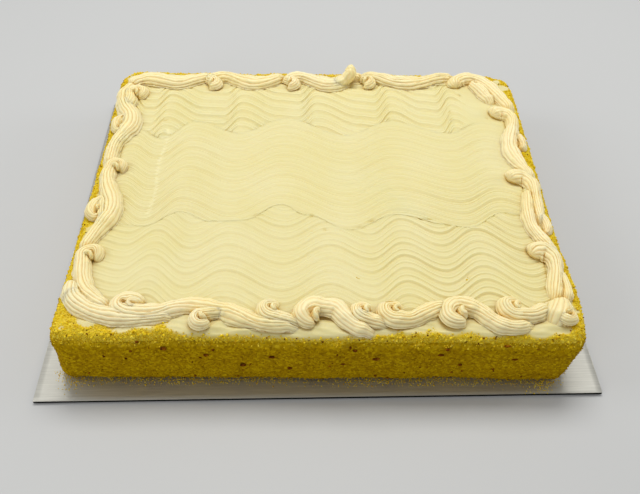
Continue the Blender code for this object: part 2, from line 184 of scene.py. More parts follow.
def faces_out(piece):
    """Turns all faces of a closed piece to look outward."""
    make_active(piece)
    with edit_mode():
        bpy.ops.mesh.select_all(action="SELECT")
        bpy.ops.mesh.normals_make_consistent(inside=False)


def finish_piece(piece, finish, node):
    """Moves the mesh into the frame, gives it its finish and ties it to the frame."""
    make_active(piece)
    bpy.ops.object.transform_apply(location=True, rotation=True, scale=True)
    piece.data.transform(TO_FRAME)
    piece.data.update()
    piece.data.materials.clear()
    piece.data.materials.append(finish)
    bpy.ops.object.shade_smooth()
    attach(piece, "root")
    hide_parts(node)
    triangles = sum(len(face.vertices) - 2 for face in piece.data.polygons)
    points = read_points(piece)
    print(piece.name, triangles, "triangles", points.min(axis=0).round(1), points.max(axis=0).round(1))


# %% [markdown]
# A material begins with what the real surface is. Colours are written as sRGB hex values, as a colour picker
# shows them, and one function turns them to the linear values that the shader works in. One more function adds a
# node with its settings and its links. A socket that shares its name with others is told by its number, as in _6.

# %% Helpers for materials
def linear(code):
    values = [int(code[i:i + 2], 16) / 255 for i in (1, 3, 5)]
    return tuple(v / 12.92 if v <= 0.04045 else ((v + 0.055) / 1.055) ** 2.4 for v in values) + (1.0,)


def set_node(node, **values):
    """Sets a node's properties and sockets, and links a socket whose value is another node's output."""
    for name, value in values.items():
        if hasattr(node, name):
            setattr(node, name, value)
            continue
        socket = node.inputs[int(name[1:]) if name[1:].isdigit() else name.replace("_", " ")]
        if isinstance(value, bpy.types.NodeSocket):
            node.id_data.links.new(value, socket)
        else:
            socket.default_value = value


def add_node(tree, kind, stops=(), **values):
    """Adds a node. Stops are the positions and colours of a colour ramp, values are its settings and links."""
    node = tree.nodes.new(kind)
    while stops and len(node.color_ramp.elements) < len(stops):
        node.color_ramp.elements.new(0.5)
    for number, (position, code) in enumerate(stops):
        node.color_ramp.elements[number].position = position
        node.color_ramp.elements[number].color = linear(code)
    set_node(node, **values)
    return node


def new_finish(name, **sockets):
    """A material with its shader, and the object coordinates that its patterns read."""
    finish = bpy.data.materials.new(name)
    finish.use_nodes = True
    tree = finish.node_tree
    shader = tree.nodes["Principled BSDF"]
    set_node(shader, **sockets)
    return finish, tree, shader, add_node(tree, "ShaderNodeTexCoord").outputs["Object"]


# %% [markdown]
# ## Finishes
#
# The sides wear a coat of dry cake crumb, rubbed through a sieve and pressed on. It is a strong egg yellow with
# no gloss, each grain a little lighter or darker than the next, and a few baked through to orange. A cell pattern
# of one grain's size, about 1.3 mm, gives each grain its own tint, and a softer pattern varies whole patches.

# %% Cake crumb
# The pressed tints are the crumb's yellow darkened as painted shade, for the sides that face away from the lamps;
# the loose tints are a lit copy of the same crumb, painted light.
SHADED_CRUMB_TINTS = ((0.0, "#826000"), (0.35, "#A27D00"), (0.75, "#B79300"), (1.0, "#CFB00C"))
LIT_CRUMB_TINTS = ((0.0, "#D2A80E"), (0.3, "#E4C21E"), (0.75, "#ECD030"), (1.0, "#EFD950"))
PATCH_TINTS = ((0.3, "#9C7600"), (0.7, "#BC9A08"))
crumb_finish, tree, shader, place = new_finish("sieved_cake_crumb", Roughness=0.95, IOR=1.4, Specular_IOR_Level=0.08)
grains = add_node(tree, "ShaderNodeTexVoronoi", Scale=1 / (1.3 * MM), Vector=place)
patches = add_node(tree, "ShaderNodeTexNoise", Scale=1 / (14 * MM), Detail=3.0, Vector=place)
each_grain = add_node(tree, "ShaderNodeSeparateColor", Color=grains.outputs["Color"])
pressed = add_node(tree, "ShaderNodeValToRGB", SHADED_CRUMB_TINTS, Fac=each_grain.outputs["Red"])
patch = add_node(tree, "ShaderNodeValToRGB", PATCH_TINTS, Fac=patches.outputs["Fac"])
coat_tint = add_node(tree, "ShaderNodeMix", data_type="RGBA", Factor=0.3, _6=pressed.outputs["Color"],
                     _7=patch.outputs["Color"])
# Near the top an attribute on the coat turns it to the lighter tints of lit crumb: painted light on the rounded top
# that faces the lamps.
share = add_node(tree, "ShaderNodeAttribute", attribute_name="loose")
loose = add_node(tree, "ShaderNodeValToRGB", LIT_CRUMB_TINTS, Fac=each_grain.outputs["Green"])
crumb_tint = add_node(tree, "ShaderNodeMix", data_type="RGBA", Factor=share.outputs["Fac"], _6=coat_tint.outputs[2],
                      _7=loose.outputs["Color"])
set_node(shader, Base_Color=crumb_tint.outputs[2])
print(crumb_finish.name, "ready")

# %% Loose crumb
# Grains that stand free on the icing take the lighter tints of lit crumb: painted light, since they catch the light
# all round.
lit_crumb_finish, tree, shader, place = new_finish("loose_cake_crumb", Roughness=0.9, IOR=1.4, Specular_IOR_Level=0.2)
grains = add_node(tree, "ShaderNodeTexVoronoi", Scale=1 / (1.6 * MM), Vector=place)
each_grain = add_node(tree, "ShaderNodeSeparateColor", Color=grains.outputs["Color"])
loose = add_node(tree, "ShaderNodeValToRGB", LIT_CRUMB_TINTS, Fac=each_grain.outputs["Green"])
set_node(shader, Base_Color=loose.outputs["Color"])
print(lit_crumb_finish.name, "ready")

# %% Baked crumb
BAKED_TINTS = ((0.3, "#3E1C02"), (0.55, "#7A4408"), (0.8, "#C07C14"))
baked_finish, tree, shader, place = new_finish("baked_crumb", Roughness=0.9, IOR=1.4, Specular_IOR_Level=0.08)
toast = add_node(tree, "ShaderNodeTexNoise", Scale=1 / (2.0 * MM), Detail=2.0, Vector=place)
baked = add_node(tree, "ShaderNodeValToRGB", BAKED_TINTS, Fac=toast.outputs["Fac"])
set_node(shader, Base_Color=baked.outputs["Color"])
print(baked_finish.name, "ready")

# %% [markdown]
# The icing is buttercream: fat, sugar and air, beaten until pale. Light goes a little way in and comes back
# warmer, so it gets some subsurface light, with a soft sheen on top. The combed icing is a pale lemon yellow and
# the piping a shade creamier. Deep in a groove the light has bounced from icing to icing, which makes it deeper
# and warmer. That warm shade is painted into the colour, driven by a "groove" attribute kept on each point as the
# shape is made and by ambient occlusion in the hollows. The paler colour on the lips beside the grooves is a painted
# highlight.

# %% Buttercream
# The lip tint is a painted highlight; the dust tint is the colour of crumb on the icing.
LIP_HIGHLIGHT_TINT, DUST_TINT = "#EFE6B4", "#E2C320"


def buttercream(name, ridge, hollow_shade, groove_strength, roughness):
    finish, tree, shader, place = new_finish(
        name, Roughness=roughness, IOR=1.46, Specular_IOR_Level=0.4, Subsurface_Weight=0.45, Subsurface_Scale=0.003,
        Subsurface_Radius=(1.0, 0.9, 0.7))
    groove, lip, dust = (add_node(tree, "ShaderNodeAttribute", attribute_name=kept).outputs["Fac"]
                         for kept in ("groove", "lip", "crumbs"))
    cloud = add_node(tree, "ShaderNodeTexNoise", Scale=1 / (40 * MM), Detail=2.0, Vector=place)
    fat = add_node(tree, "ShaderNodeTexNoise", Scale=1 / (0.9 * MM), Detail=3.0, Vector=place)
    deep = add_node(tree, "ShaderNodeMath", operation="MULTIPLY", _0=groove, _1=groove_strength)
    # Ambient occlusion marks the hollows, where the warm painted shade goes as well as in the grooves.
    open_sky = add_node(tree, "ShaderNodeAmbientOcclusion", Distance=5 * MM, samples=6)
    shut_in = add_node(tree, "ShaderNodeMapRange", From_Min=0.9, From_Max=0.25, To_Min=0.0, To_Max=0.8,
                       Value=open_sky.outputs["AO"])
    painted_shade = add_node(tree, "ShaderNodeMath", operation="MAXIMUM", _0=deep.outputs[0], _1=shut_in.outputs["Result"])
    ridges = add_node(tree, "ShaderNodeValToRGB", ((0.35, ridge[0]), (0.65, ridge[1])), Fac=cloud.outputs["Fac"])
    # A painted highlight on the lips beside the grooves, painted warm shade in the grooves and hollows, then dusted
    # with crumb, each over what is there.
    tint = ridges.outputs["Color"]
    for share, code in ((lip, LIP_HIGHLIGHT_TINT), (painted_shade.outputs[0], hollow_shade), (dust, DUST_TINT)):
        tint = add_node(tree, "ShaderNodeMix", data_type="RGBA", Factor=share, _6=tint, _7=linear(code)).outputs[2]
    bump = add_node(tree, "ShaderNodeBump", Strength=0.25, Distance=0.15 * MM, Height=fat.outputs["Fac"])
    set_node(shader, Base_Color=tint, Normal=bump.outputs["Normal"])
    return finish


# Each: its two ridge tints, its painted shade tint for grooves and hollows, how strongly the grooves take it, and
# its roughness.
combed_finish = buttercream("combed_lemon_buttercream", ("#E1D597", "#E3D8A0"), "#D0AE50", 0.26, 0.5)
piped_finish = buttercream("piped_cream_buttercream", ("#F7E6AC", "#F9EABA"), "#DFB244", 0.5, 0.42)
print(combed_finish.name, piped_finish.name, "ready")

# %% [markdown]
# The board is dark grey card laminated with silver film, matt enough to show only soft light. Its edge is coloured
# near black: the card's own grey, darkened as painted shade along the edge and under the board. Very fine roller
# lines run along it, too fine to show at their real size, so they are drawn about 1 mm wide and faint.

# %% Laminated card
card_finish, tree, shader, place = new_finish("silver_laminated_card", Metallic=0.75)
stretched = add_node(tree, "ShaderNodeMapping", Scale=(0.04, 1.0, 1.0), Vector=place)
rollers = add_node(tree, "ShaderNodeTexNoise", Scale=1 / (1.0 * MM), Detail=2.0, Vector=stretched.outputs["Vector"])
silver = add_node(tree, "ShaderNodeValToRGB", ((0.3, "#BAB8AE"), (0.7, "#C9C7BD")), Fac=rollers.outputs["Fac"])
dull = add_node(tree, "ShaderNodeMapRange", To_Min=0.4, To_Max=0.5, Value=rollers.outputs["Fac"])
set_node(shader, Base_Color=silver.outputs["Color"], Roughness=dull.outputs["Result"])
# Near black: the card's grey darkened as painted shade, for the edge that faces away from the lamps and the shadow
# under the board.
edge_shade_finish, tree, shader, place = new_finish("grey_card_edge_painted_shade", Roughness=0.9, Specular_IOR_Level=0.1)
pulp = add_node(tree, "ShaderNodeTexNoise", Scale=1 / (0.6 * MM), Detail=3.0, Vector=place)
grey = add_node(tree, "ShaderNodeValToRGB", ((0.3, "#070706"), (0.7, "#12110F")), Fac=pulp.outputs["Fac"])
set_node(shader, Base_Color=grey.outputs["Color"])
print(card_finish.name, edge_shade_finish.name, "ready")

# %% [markdown]
# ## The board
#
# The card is a sandwich: a thick dark middle with a thin layer above and below that stands just proud of it, silver
# film on top and plain card as a backing. The middle and the backing are coloured near black, their grey darkened as
# painted shade along the board's edge. Each is a cube at its own size with bevelled edges. The film is cut into
# squares so that its corners can lift a fraction of a millimetre, as card does when a heavy cake is set on it.

# %% Card and film
BOARD_LOW, BOARD_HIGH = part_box("board")
BOARD_SIZE = BOARD_HIGH - BOARD_LOW


def add_block(name, width, depth, low_mm, high_mm):
    """A plain block over the middle of the board, from one height to another."""
    block = added(name, bpy.ops.mesh.primitive_cube_add, size=1, location=(0, 0, (low_mm + high_mm) / 2 * MM))
    block.scale = (width, depth, (high_mm - low_mm) * MM)
    bpy.ops.object.transform_apply(location=True, rotation=True, scale=True)
    return block


def select_level_faces(block):
    """Selects the top and the bottom."""
    for face in block.data.polygons:
        face.select = abs(face.normal.z) > 0.9


def flat_card(name, shrink_mm, low_mm, high_mm, bevel_mm, cuts):
    """One layer of the board, which stands in a little from its edge, with cuts in its top and bottom."""
    width, depth = (way - 2 * shrink_mm * MM for way in BOARD_SIZE.xy)
    card = add_block(name, width, depth, low_mm, high_mm)
    with edit_mode():
        bpy.ops.mesh.select_all(action="SELECT")
        bpy.ops.mesh.bevel(offset=bevel_mm * MM, segments=2, affect="EDGES")
        bpy.ops.mesh.select_all(action="DESELECT")
    select_level_faces(card)
    with edit_mode():
        bpy.ops.mesh.subdivide(number_cuts=cuts)
    return card


middle_card = flat_card("board_card", 0.1, 0.05, 1.92, 0.05, 12)
top_film = flat_card("board_film", 0.0, 1.9, 2.0, 0.03, 88)
bottom_card = flat_card("board_backing", 0.3, 0.0, 0.2, 0.05, 4)
CORNER_RISE = 0.25 * MM
for vert in top_film.data.vertices:
    out_x, out_y = abs(vert.co.x) / (BOARD_SIZE.x / 2), abs(vert.co.y) / (BOARD_SIZE.y / 2)
    side = 1.0 if vert.co.x > 0 else 0.6
    if vert.co.z > 0.5 * BOARD_TOP:
        vert.co.z += CORNER_RISE * side * (out_x * out_y) ** 6
for card, finish in ((middle_card, edge_shade_finish), (top_film, card_finish), (bottom_card, edge_shade_finish)):
    card.data.transform(TO_FRAME.inverted())
    finish_piece(card, finish, "board")

# %% [markdown]
# ## The coat of crumbs
#
# The sides are not flat: they lean, bulge and wobble, and crumb covers them all over. The coat starts as a cube
# of the cake's size. Its upright edges are bevelled, tighter in front than behind, its top and bottom are taken
# off, and cuts every few millimetres give it a net that a simple subdivision makes fine enough for grains. Then
# every point is moved to the lean that the photograph shows, and procedural patterns raise the grains.

# %% Coat of crumbs, the net
LEAN = {
    "height": (0.0, 3.0, 16.0, 30.0, 38.0, 41.5, 43.5, 45.5, 47.0),
    "front": (-2.2, -0.9, 0.4, 0.7, 0.7, 0.4, -0.2, -1.3, -2.8),
    "right": (-8.6, -7.2, -3.6, -0.8, 0.5, 0.9, 0.7, -0.3, -2.0),
    "back": (-2.6, -1.2, 0.4, 0.8, 0.7, 0.4, -0.2, -1.3, -2.8),
    "left": (2.3, 3.0, 1.2, -0.8, 0.8, 1.6, 1.4, 0.2, -1.8),
}
# The radius of each upright corner, by the signs of x and y.
CORNERS = {(-1, -1): 10.0, (1, -1): 11.0, (-1, 1): 17.0, (1, 1): 25.0}
# How far each long side bulges past a straight line, along the cake.
BULGE = {
    "left": ((-140, 30, 50, 75, 140), (0, 0, 0.6, 3.0, 3.0)),
    "right": ((-140, -134, -122, -108, -93, -77, -63, 0, 100, 140), (0, 0.8, 3.0, 3.6, 3.3, 2.2, 1.3, 1.5, 1.5, 0)),
}
NET_STEP = 11.2
# The coat's net starts at the first height, and its foot is set flat at the second, just clear of the film.
COAT_LOW, COAT_FOOT = 0.1, 0.05


def rounded_block(name, low, high):
    """A block of the cake's width and depth with rounded upright corners, without its top and bottom."""
    block = add_block(name, 2 * HALF_WIDTH * MM, 2 * HALF_DEPTH * MM, low, high)
    for (right, behind), radius in CORNERS.items():
        for edge in block.data.edges:
            a, b = (block.data.vertices[i].co for i in edge.vertices)
            upright = abs(a.z - b.z) > 0.9 * (high - low) * MM
            corner = abs(a.x) > 0.999 * HALF_WIDTH * MM and abs(a.y) > 0.999 * HALF_DEPTH * MM
            edge.select = upright and corner and a.x * right > 0 and a.y * behind > 0
        with edit_mode():
            bpy.ops.mesh.select_mode(type="EDGE")
            bpy.ops.mesh.bevel(offset=radius * MM, segments=6, affect="EDGES")
            bpy.ops.mesh.select_all(action="DESELECT")
    select_level_faces(block)
    with edit_mode():
        bpy.ops.mesh.select_mode(type="FACE")
        bpy.ops.mesh.delete(type="FACE")
    return block


def cut_net(low, high):
    """Cuts the active block by flat cuts NET_STEP apart, across, along and level."""
    with edit_mode():
        for way, start, end in (((1, 0, 0), -138, 138), ((0, 1, 0), -127, 114), ((0, 0, 1), low, high)):
            count = round((end - start) / NET_STEP)
            for i in range(1 if way[2] else 0, count if way[2] else count + 1):
                at = [axis * (start + (end - start) * i / count) * MM for axis in way]
                bpy.ops.mesh.select_all(action="SELECT")
                bpy.ops.mesh.bisect(plane_co=at, plane_no=way)


coat = rounded_block("crumb_coat", COAT_LOW, CRUMB_TOP)
cut_net(COAT_LOW, CRUMB_TOP)
net = coat.modifiers.new("net", "SUBSURF")
net.subdivision_type = "SIMPLE"
net.levels = net.render_levels = 3
apply_modifiers(coat)
net_points = read_points(coat)
height = net_points[:, 2]
net_points[:, 2] = np.interp(height, (height.min(), height.max()), (COAT_LOW, CRUMB_TOP))
write_points(coat, net_points)
print("crumb coat net:", len(coat.data.polygons), "squares")

# %% Coat of crumbs, the lean and the grains
def ease(low, high, value):
    """Goes smoothly from 0 at low to 1 at high."""
    share = np.clip((value - low) / (high - low), 0, 1)
    return share * share * (3 - 2 * share)


def corner_radius(x, y, shrink=0.0):
    """The radius of the corner that is nearest to each place."""
    front = np.where(x < 0, CORNERS[(-1, -1)], CORNERS[(1, -1)])
    back = np.where(x < 0, CORNERS[(-1, 1)], CORNERS[(1, 1)])
    return np.where(y < 0, front, back) - shrink


def bulge(x, y):
    """How far a place near the left or right side lies further out, because the side isn't straight."""
    shift = np.where(x < 0, -np.interp(y, *BULGE["left"]), np.interp(y, *BULGE["right"]))
    return shift * np.clip((np.abs(x) - 140) / 20, 0, 1)


def outward(points):
    """The level direction that the plain rounded outline faces at each point."""
    x, y = points[:, 0], points[:, 1]
    radius = corner_radius(x, y)
    way = np.stack([np.sign(x) * np.maximum(np.abs(x) - (HALF_WIDTH - radius), 0),
                    np.sign(y) * np.maximum(np.abs(y) - (HALF_DEPTH - radius), 0)], axis=1)
    return way / np.maximum(np.linalg.norm(way, axis=1, keepdims=True), 1e-9)


def side_wobble(x, y, z):
    """The slow bumps of the sides, which the hand that pressed the crumbs on left."""
    wobble = 0.9 * np.sin(x / 23 + 1.3) + 0.7 * np.sin(x / 9.7 + y / 31) + 0.8 * np.sin(y / 19 + 0.4)
    return wobble * (0.35 + 0.25 * np.sin(z / 14 + x / 60))


def lean_out(points):
    way = outward(points)
    x, y, z = points.T
    stand_out = {side: np.interp(z, LEAN["height"], LEAN[side]) for side in ("front", "right", "back", "left")}
    across = np.where(way[:, 0] > 0, stand_out["right"], stand_out["left"]) * way[:, 0] ** 2
    along = np.where(way[:, 1] > 0, stand_out["back"], stand_out["front"]) * way[:, 1] ** 2
    moved = points.copy()
    moved[:, :2] += way * (across + along + side_wobble(x, y, z))[:, None]
    moved[:, 0] += bulge(x, y)
    uneven_top = 0.5 * np.sin(x / 8.3 + y / 11) + 0.4 * np.sin(x / 4.1 - y / 5.7)
    moved[:, 2] += uneven_top * ease(30, 45, z)
    return moved


write_points(coat, lean_out(read_points(coat)))
at_foot = read_points(coat)[:, 2] < 0.2
ripple(coat, "CLOUDS", 9.0, 1.2, noise_depth=2)
ripple(coat, "VORONOI", 1.9, 0.9, distance_metric="DISTANCE")
ripple(coat, "CLOUDS", 0.9, 0.6, noise_depth=1)
for upper in (False, True):
    with edit_mode():
        bpy.ops.mesh.select_all(action="DESELECT")
        bpy.ops.mesh.select_mode(type="EDGE")
    open_edges = bmesh.new()
    open_edges.from_mesh(coat.data)
    for edge in open_edges.edges:
        edge.select_set(edge.is_boundary and (edge.verts[0].co.z > CRUMB_TOP / 2 * MM) == upper)
    open_edges.to_mesh(coat.data)
    open_edges.free()
    with edit_mode():
        bpy.ops.mesh.edge_face_add()
faces_out(coat)
coat_points = read_points(coat)
coat_points[:, 2] = np.clip(coat_points[:, 2], COAT_FOOT, CRUMB_TOP + 0.6)
coat_points[at_foot, 2] = COAT_FOOT
write_points(coat, coat_points)
coat_height = coat_points[:, 2]
# The coat takes the lit crumb tints towards its top: painted light where its rounded top faces the lamps.
store(coat, "loose", np.interp(coat_height, (40, 43.5, 45.5), (0, 0.25, 1)))
finish_piece(coat, crumb_finish, "cake")

# %% [markdown]
# ## The icing
#
# The cake was first covered with a smooth cap of icing, which rolls over a soft shoulder down to the crumbs. One
# grid can be that cap: its points are moved to the rounded outline of the cake, closer together near the rim,
# and each gets its height from its distance to the edge. The crumbs climb on to it in ragged patches, so each
# point also keeps how thickly it is covered. Its middle is sunk a little, because the combed icing lies on it.

# %% The smooth cap
CELLS = (190, 200)
TOP_HALF = (HALF_WIDTH - 1.9, HALF_DEPTH - 2.8)
RIM_SHRINK = 2.0
# The shoulder: distance in from the edge, and height.
SHOULDER = ((0.0, 0.3, 0.9, 1.9, 3.4, 6.0, 10.0), (45.2, 46.7, 47.9, 49.0, 49.9, 50.4, 50.6))
# The combed field, and how deep the cap is sunk under it.
FIELD_HALF = (150.0, 121.0)
SUNK_MIDDLE = 2.6


def to_outline(x, y):
    """Moves the points of a square grid, from -1 to 1, into the rounded outline, closer together near the rim."""
    x, y = (np.sign(way) * np.interp(np.abs(way), (0, 0.55, 0.85, 1), (0, half - 34, half - 7, half))
            for way, half in zip((x, y), TOP_HALF))
    radius = corner_radius(x, y, RIM_SHRINK)
    a = np.maximum(np.abs(x) - (TOP_HALF[0] - radius), 0)
    b = np.maximum(np.abs(y) - (TOP_HALF[1] - radius), 0)
    x = x + np.sign(x) * (a * np.sqrt(1 - b ** 2 / (2 * radius ** 2)) - a)
    y = y + np.sign(y) * (b * np.sqrt(1 - a ** 2 / (2 * radius ** 2)) - b)
    return x, y


def distance_in(x, y):
    """How far a place lies in from the rounded outline of the icing."""
    radius = corner_radius(x, y, RIM_SHRINK)
    a = np.abs(x) - (TOP_HALF[0] - radius)
    b = np.abs(y) - (TOP_HALF[1] - radius)
    return radius - np.hypot(np.maximum(a, 0), np.maximum(b, 0)) - np.minimum(np.maximum(a, b), 0)


# How far in from the edge the crumbs climb on to the icing, along each side of the cake.
CLIMB = {
    "front": ((-165, -152, -135, -122, -108, -98, -94, -88, -80, -72, -62, -54, -48, -38, -31, 0, 30, 38, 48, 55, 63,
               76, 90, 98, 104, 112, 118, 135, 150, 158, 165),
              (19, 13, 6, 3.5, 4.0, 7, 6, 1.6, 0.4, 0.8, 1.6, 0.8, 1.0, 0.4, 0.3, 0.3, 0.4, 2.6, 3.4, 1.0, 3.0, 3.2,
               2.4, 3.0, 0.8, 0.8, 2.4, 2.0, 2.6, 5.5, 8)),
    "left": ((-140, -122, -104, -80, -60, -20, 20, 60, 90, 115, 140), (20, 15, 12, 6, 7, 6, 7, 7, 6, 7, 6)),
    "right": ((-140, -125, -100, -60, -42, -10, 28, 60, 100, 118, 140), (10, 9, 8, 8, 9, 6, 9, 6, 5, 8, 17)),
    "back": ((-165, -150, -120, -60, -50, -20, 0, 60, 95, 102, 112, 130, 150, 165),
             (7, 6, 5, 5, 6, 6, 4, 3, 5, 5, 3, 6, 12, 17)),
}


def crumb_climb(x, y, inset):
    """The share of the surface that crumbs cover: all of it at the very edge, patchy further in."""
    sides = {"front": TOP_HALF[1] + y, "back": TOP_HALF[1] - y, "left": TOP_HALF[0] + x, "right": TOP_HALF[0] - x}
    patch = 1.1 * np.sin(x / 2.9 + y / 4.1) + 0.8 * np.sin(y / 1.7 - x / 5.3) + 0.9 * np.sin(x / 7.7 - y / 6.1)
    cover = np.zeros_like(x)
    for side, away in sides.items():
        reach = np.interp(x if side in ("front", "back") else y, *CLIMB[side])
        cover = np.maximum(cover, ease(reach + 1.5, reach - 1.0, away + 0.28 * patch * reach))
    return np.clip(np.maximum(cover, ease(0.8, 0.2, inset)), 0, 1)


def close_below(piece, depth):
    """Gives an open sheet a rim and an underside, so that it is a closed body."""
    make_active(piece)
    with edit_mode():
        bpy.ops.mesh.select_mode(type="EDGE")
        bpy.ops.mesh.select_all(action="SELECT")
        bpy.ops.mesh.region_to_loop()
        bpy.ops.mesh.extrude_region_move(TRANSFORM_OT_translate={"value": (0, 0, -depth * MM)})
        bpy.ops.mesh.edge_face_add()


def keep_off_caps(piece):
    """Sets where grains are strewn to nought round the big flat faces that close a piece."""
    values = np.empty(len(piece.data.vertices))
    piece.data.attributes["strewn"].data.foreach_get("value", values)
    for face in piece.data.polygons:
        if len(face.vertices) > 4:
            values[list(face.vertices)] = 0
    store(piece, "strewn", values)


icing_top = added("buttercream_top", bpy.ops.mesh.primitive_grid_add, x_subdivisions=CELLS[0],
                  y_subdivisions=CELLS[1], size=2, location=(0, 0, 0))
top_points = read_points(icing_top)
x, y = to_outline(top_points[:, 0] * MM, top_points[:, 1] * MM)
inset = distance_in(x, y)
under_comb = ease(FIELD_HALF[0] + 0.5, FIELD_HALF[0] - 2.5, np.abs(x))
under_comb *= ease(FIELD_HALF[1] + 0.5, FIELD_HALF[1] - 2.5, np.abs(y))
smears = 0.22 * np.sin((y + 0.16 * x) / 0.75 + 1.5 * np.sin(x / 13)) + 0.35 * np.sin(x / 8.5 + y / 3.1)
smears *= (1 - under_comb) * ease(0.5, 3.5, inset)
rim_way = outward(np.stack([x, y], axis=1)) * (side_wobble(x, y, 46.0) * ease(14, 0, inset))[:, None]
scrapes = 0.5 * np.sin((y - 0.3 * x) / 2.1 + 2.0 * np.sin(x / 17)) * np.sin(x / 21 + 1.0)
scrapes = scrapes * ease(1.5, 4, inset) * (1 - under_comb)
top_height = np.interp(inset, *SHOULDER) - SUNK_MIDDLE * under_comb + smears + scrapes
write_points(icing_top, np.stack([x + bulge(x, y) + rim_way[:, 0], y + rim_way[:, 1], top_height], axis=1))
climb = crumb_climb(x, y, inset)
store(icing_top, "crumbs", climb)
store(icing_top, "strewn", climb)
ripple(icing_top, "CLOUDS", 30.0, 0.5, direction="Z", noise_depth=1)
ripple(icing_top, "CLOUDS", 2.2, 0.22, direction="Z", noise_depth=2)
close_below(icing_top, 1.5)
keep_off_caps(icing_top)
finish_piece(icing_top, combed_finish, "icing")

# %% [markdown]
# A toothed comb was drawn over the icing from side to side while the hand swung to and fro, three times: along
# the back, along the front, and last along the middle, where it cut off the ends of the other two. The comb stays
# square to the cake, so all lines of one pass are copies of one wave. So each pass is a sheet of its own, a grid
# whose rows run along that wave: then a thin groove stays thin on the steep parts too. Its teeth repeat about
# every 11 mm. What lies outside the pass is deleted, and the rim dips under its neighbour, as the comb left it.

# %% The comb's waves
# For each pass, after how many millimetres its pattern repeats, and where each tooth cuts, how deep and how wide.
TEETH = {
    "combed_front": (11.2, ((2.0, 0.94, 3.6), (7.4, 0.38, 2.0), (10.7, 0.52, 3.3))),
    "combed_middle": (11.2, ((2.0, 0.73, 4.6), (5.9, 0.43, 2.8), (10.4, 0.77, 1.85))),
    "combed_back": (10.05, ((2.0, 0.92, 4.0), (6.1, 0.15, 1.9), (9.8, 0.63, 3.1))),
}
FRONT_PASS = (
    (-152, 17), (-129, 11.3), (-110, 25.1), (-86, 9.1), (-61, 23.5), (-23, 7), (8, 23.6), (35.5, 11.3),
    (57.5, 26.3), (84, 13), (109, 28.3), (140, 9), (155, 14))
MIDDLE_PASS = (
    (-152, -12), (-143, -8), (-121.5, -21.5), (-97, 0.8), (-62, -14), (-26, 4.6), (22, -15.5), (57.5, 2.6),
    (103, -11.8), (131, 2.3), (155, -5))
BACK_PASS = (
    (-152, 8), (-139, -8), (-133, -8), (-121, 10), (-93, -7), (-76, -8), (-62, 10), (-32, -7), (-16, -9), (-1, 10),
    (33, -7), (46, -9), (60, 10), (85, -6), (97, -8), (110, 10), (128, -4), (155, -6))
FRONT_EDGE = (
    (-152, -45), (-120, -47), (-97, -33), (-75, -42), (-53, -41), (-26, -25), (-8, -35), (22, -49), (55, -34),
    (88, -43), (105, -46), (131, -31), (155, -36))
BACK_EDGE = 68.0
# Places where the comb tore the icing: x, y, half length, half width and depth.
TEARS = (
    (30, -46.5, 3.0, 0.9, 1.1), (38, -40.3, 2.6, 1.0, 1.2), (76, -38.2, 5.0, 0.8, 1.0), (90, -43.5, 1.6, 1.2, 1.3),
    (5, -49, 1.2, 1.0, 1.2), (-43, -35.5, 3.5, 0.9, 1.0), (-4.5, -35.5, 1.2, 1.2, 1.0),
    (118.5, 106.5, 1.1, 1.1, 1.6), (107.5, 83.5, 1.0, 1.0, 1.3), (57, 73.5, 1.8, 1.3, 1.2),
    (-122, 69.5, 1.8, 1.2, 1.2), (-73, 72, 1.6, 1.2, 1.1), (108, 74, 2.0, 0.9, 1.0), (145, 95.5, 2.0, 1.0, 1.2),
    (137, 76, 1.0, 2.0, 1.0), (134, 104, 0.9, 2.2, 1.0))


def wave(turns, x):
    """The height of a wave at each x, half a cosine from one turn to the next."""
    at = np.array(turns, float)
    index = np.clip(np.searchsorted(at[:, 0], x) - 1, 0, len(at) - 2)
    share = np.clip((x - at[index, 0]) / (at[index + 1, 0] - at[index, 0]), 0, 1)
    return at[index, 1] + (at[index + 1, 1] - at[index, 1]) * (1 - np.cos(np.pi * share)) / 2


def hump(value, width):
    """A smooth bump, 1 at nought and gone at the width."""
    return np.exp(-(value / (0.5 * width)) ** 2)


def tooth_depth(name, row, x):
    """How deep the comb's teeth cut along a row: a groove for each tooth, with a small lip pushed up beside it."""
    pitch, teeth = TEETH[name]
    depth = 0.07 * np.sin(row * 2 * np.pi * 7 / pitch) * (1 + np.sin(x / 31 + np.floor(row / 30)))
    for place, deep, wide in teeth:
        line = np.round((row - place) / pitch)
        away = np.abs(row - place - line * pitch) / (wide / 2)
        uneven = 1 + 0.22 * np.sin(line * 2.4 + x / 37 + place) + 0.15 * np.sin(line * 5.1 - x / 19)
        depth += deep * uneven * (np.clip(1 - away, 0, 1) ** 1.2 - 0.3 * np.exp(-((away - 1.3) / 0.4) ** 2))
    return depth


def marks_depth(x, y):
    """The ridge that the comb's end left on the left, and the small tears."""
    ridge = hump(x + 118 + 1.2 * np.sin(y / 9), 3.2) * np.clip((y + 42) / 8, 0, 1) * np.clip((64 - y) / 8, 0, 1)
    depth = -0.55 * ridge * (1 + 0.7 * np.sin((y + 0.5 * x) * 1.7))
    for tear_x, tear_y, half_length, half_width, tear_depth in TEARS:
        reach = ((x - tear_x) / half_length) ** 2 + ((y - tear_y) / half_width) ** 2
        depth += tear_depth * np.exp(-reach)
    return depth


# %% The combed passes
COLUMN_STEP, ROW_STEP = 1.15, 0.4
PASS_TOP = 50.6
# How far a pass reaches on under its neighbour, and how deep its rim dips there.
OVERLAP, RIM_DIP = 2.4, 1.8
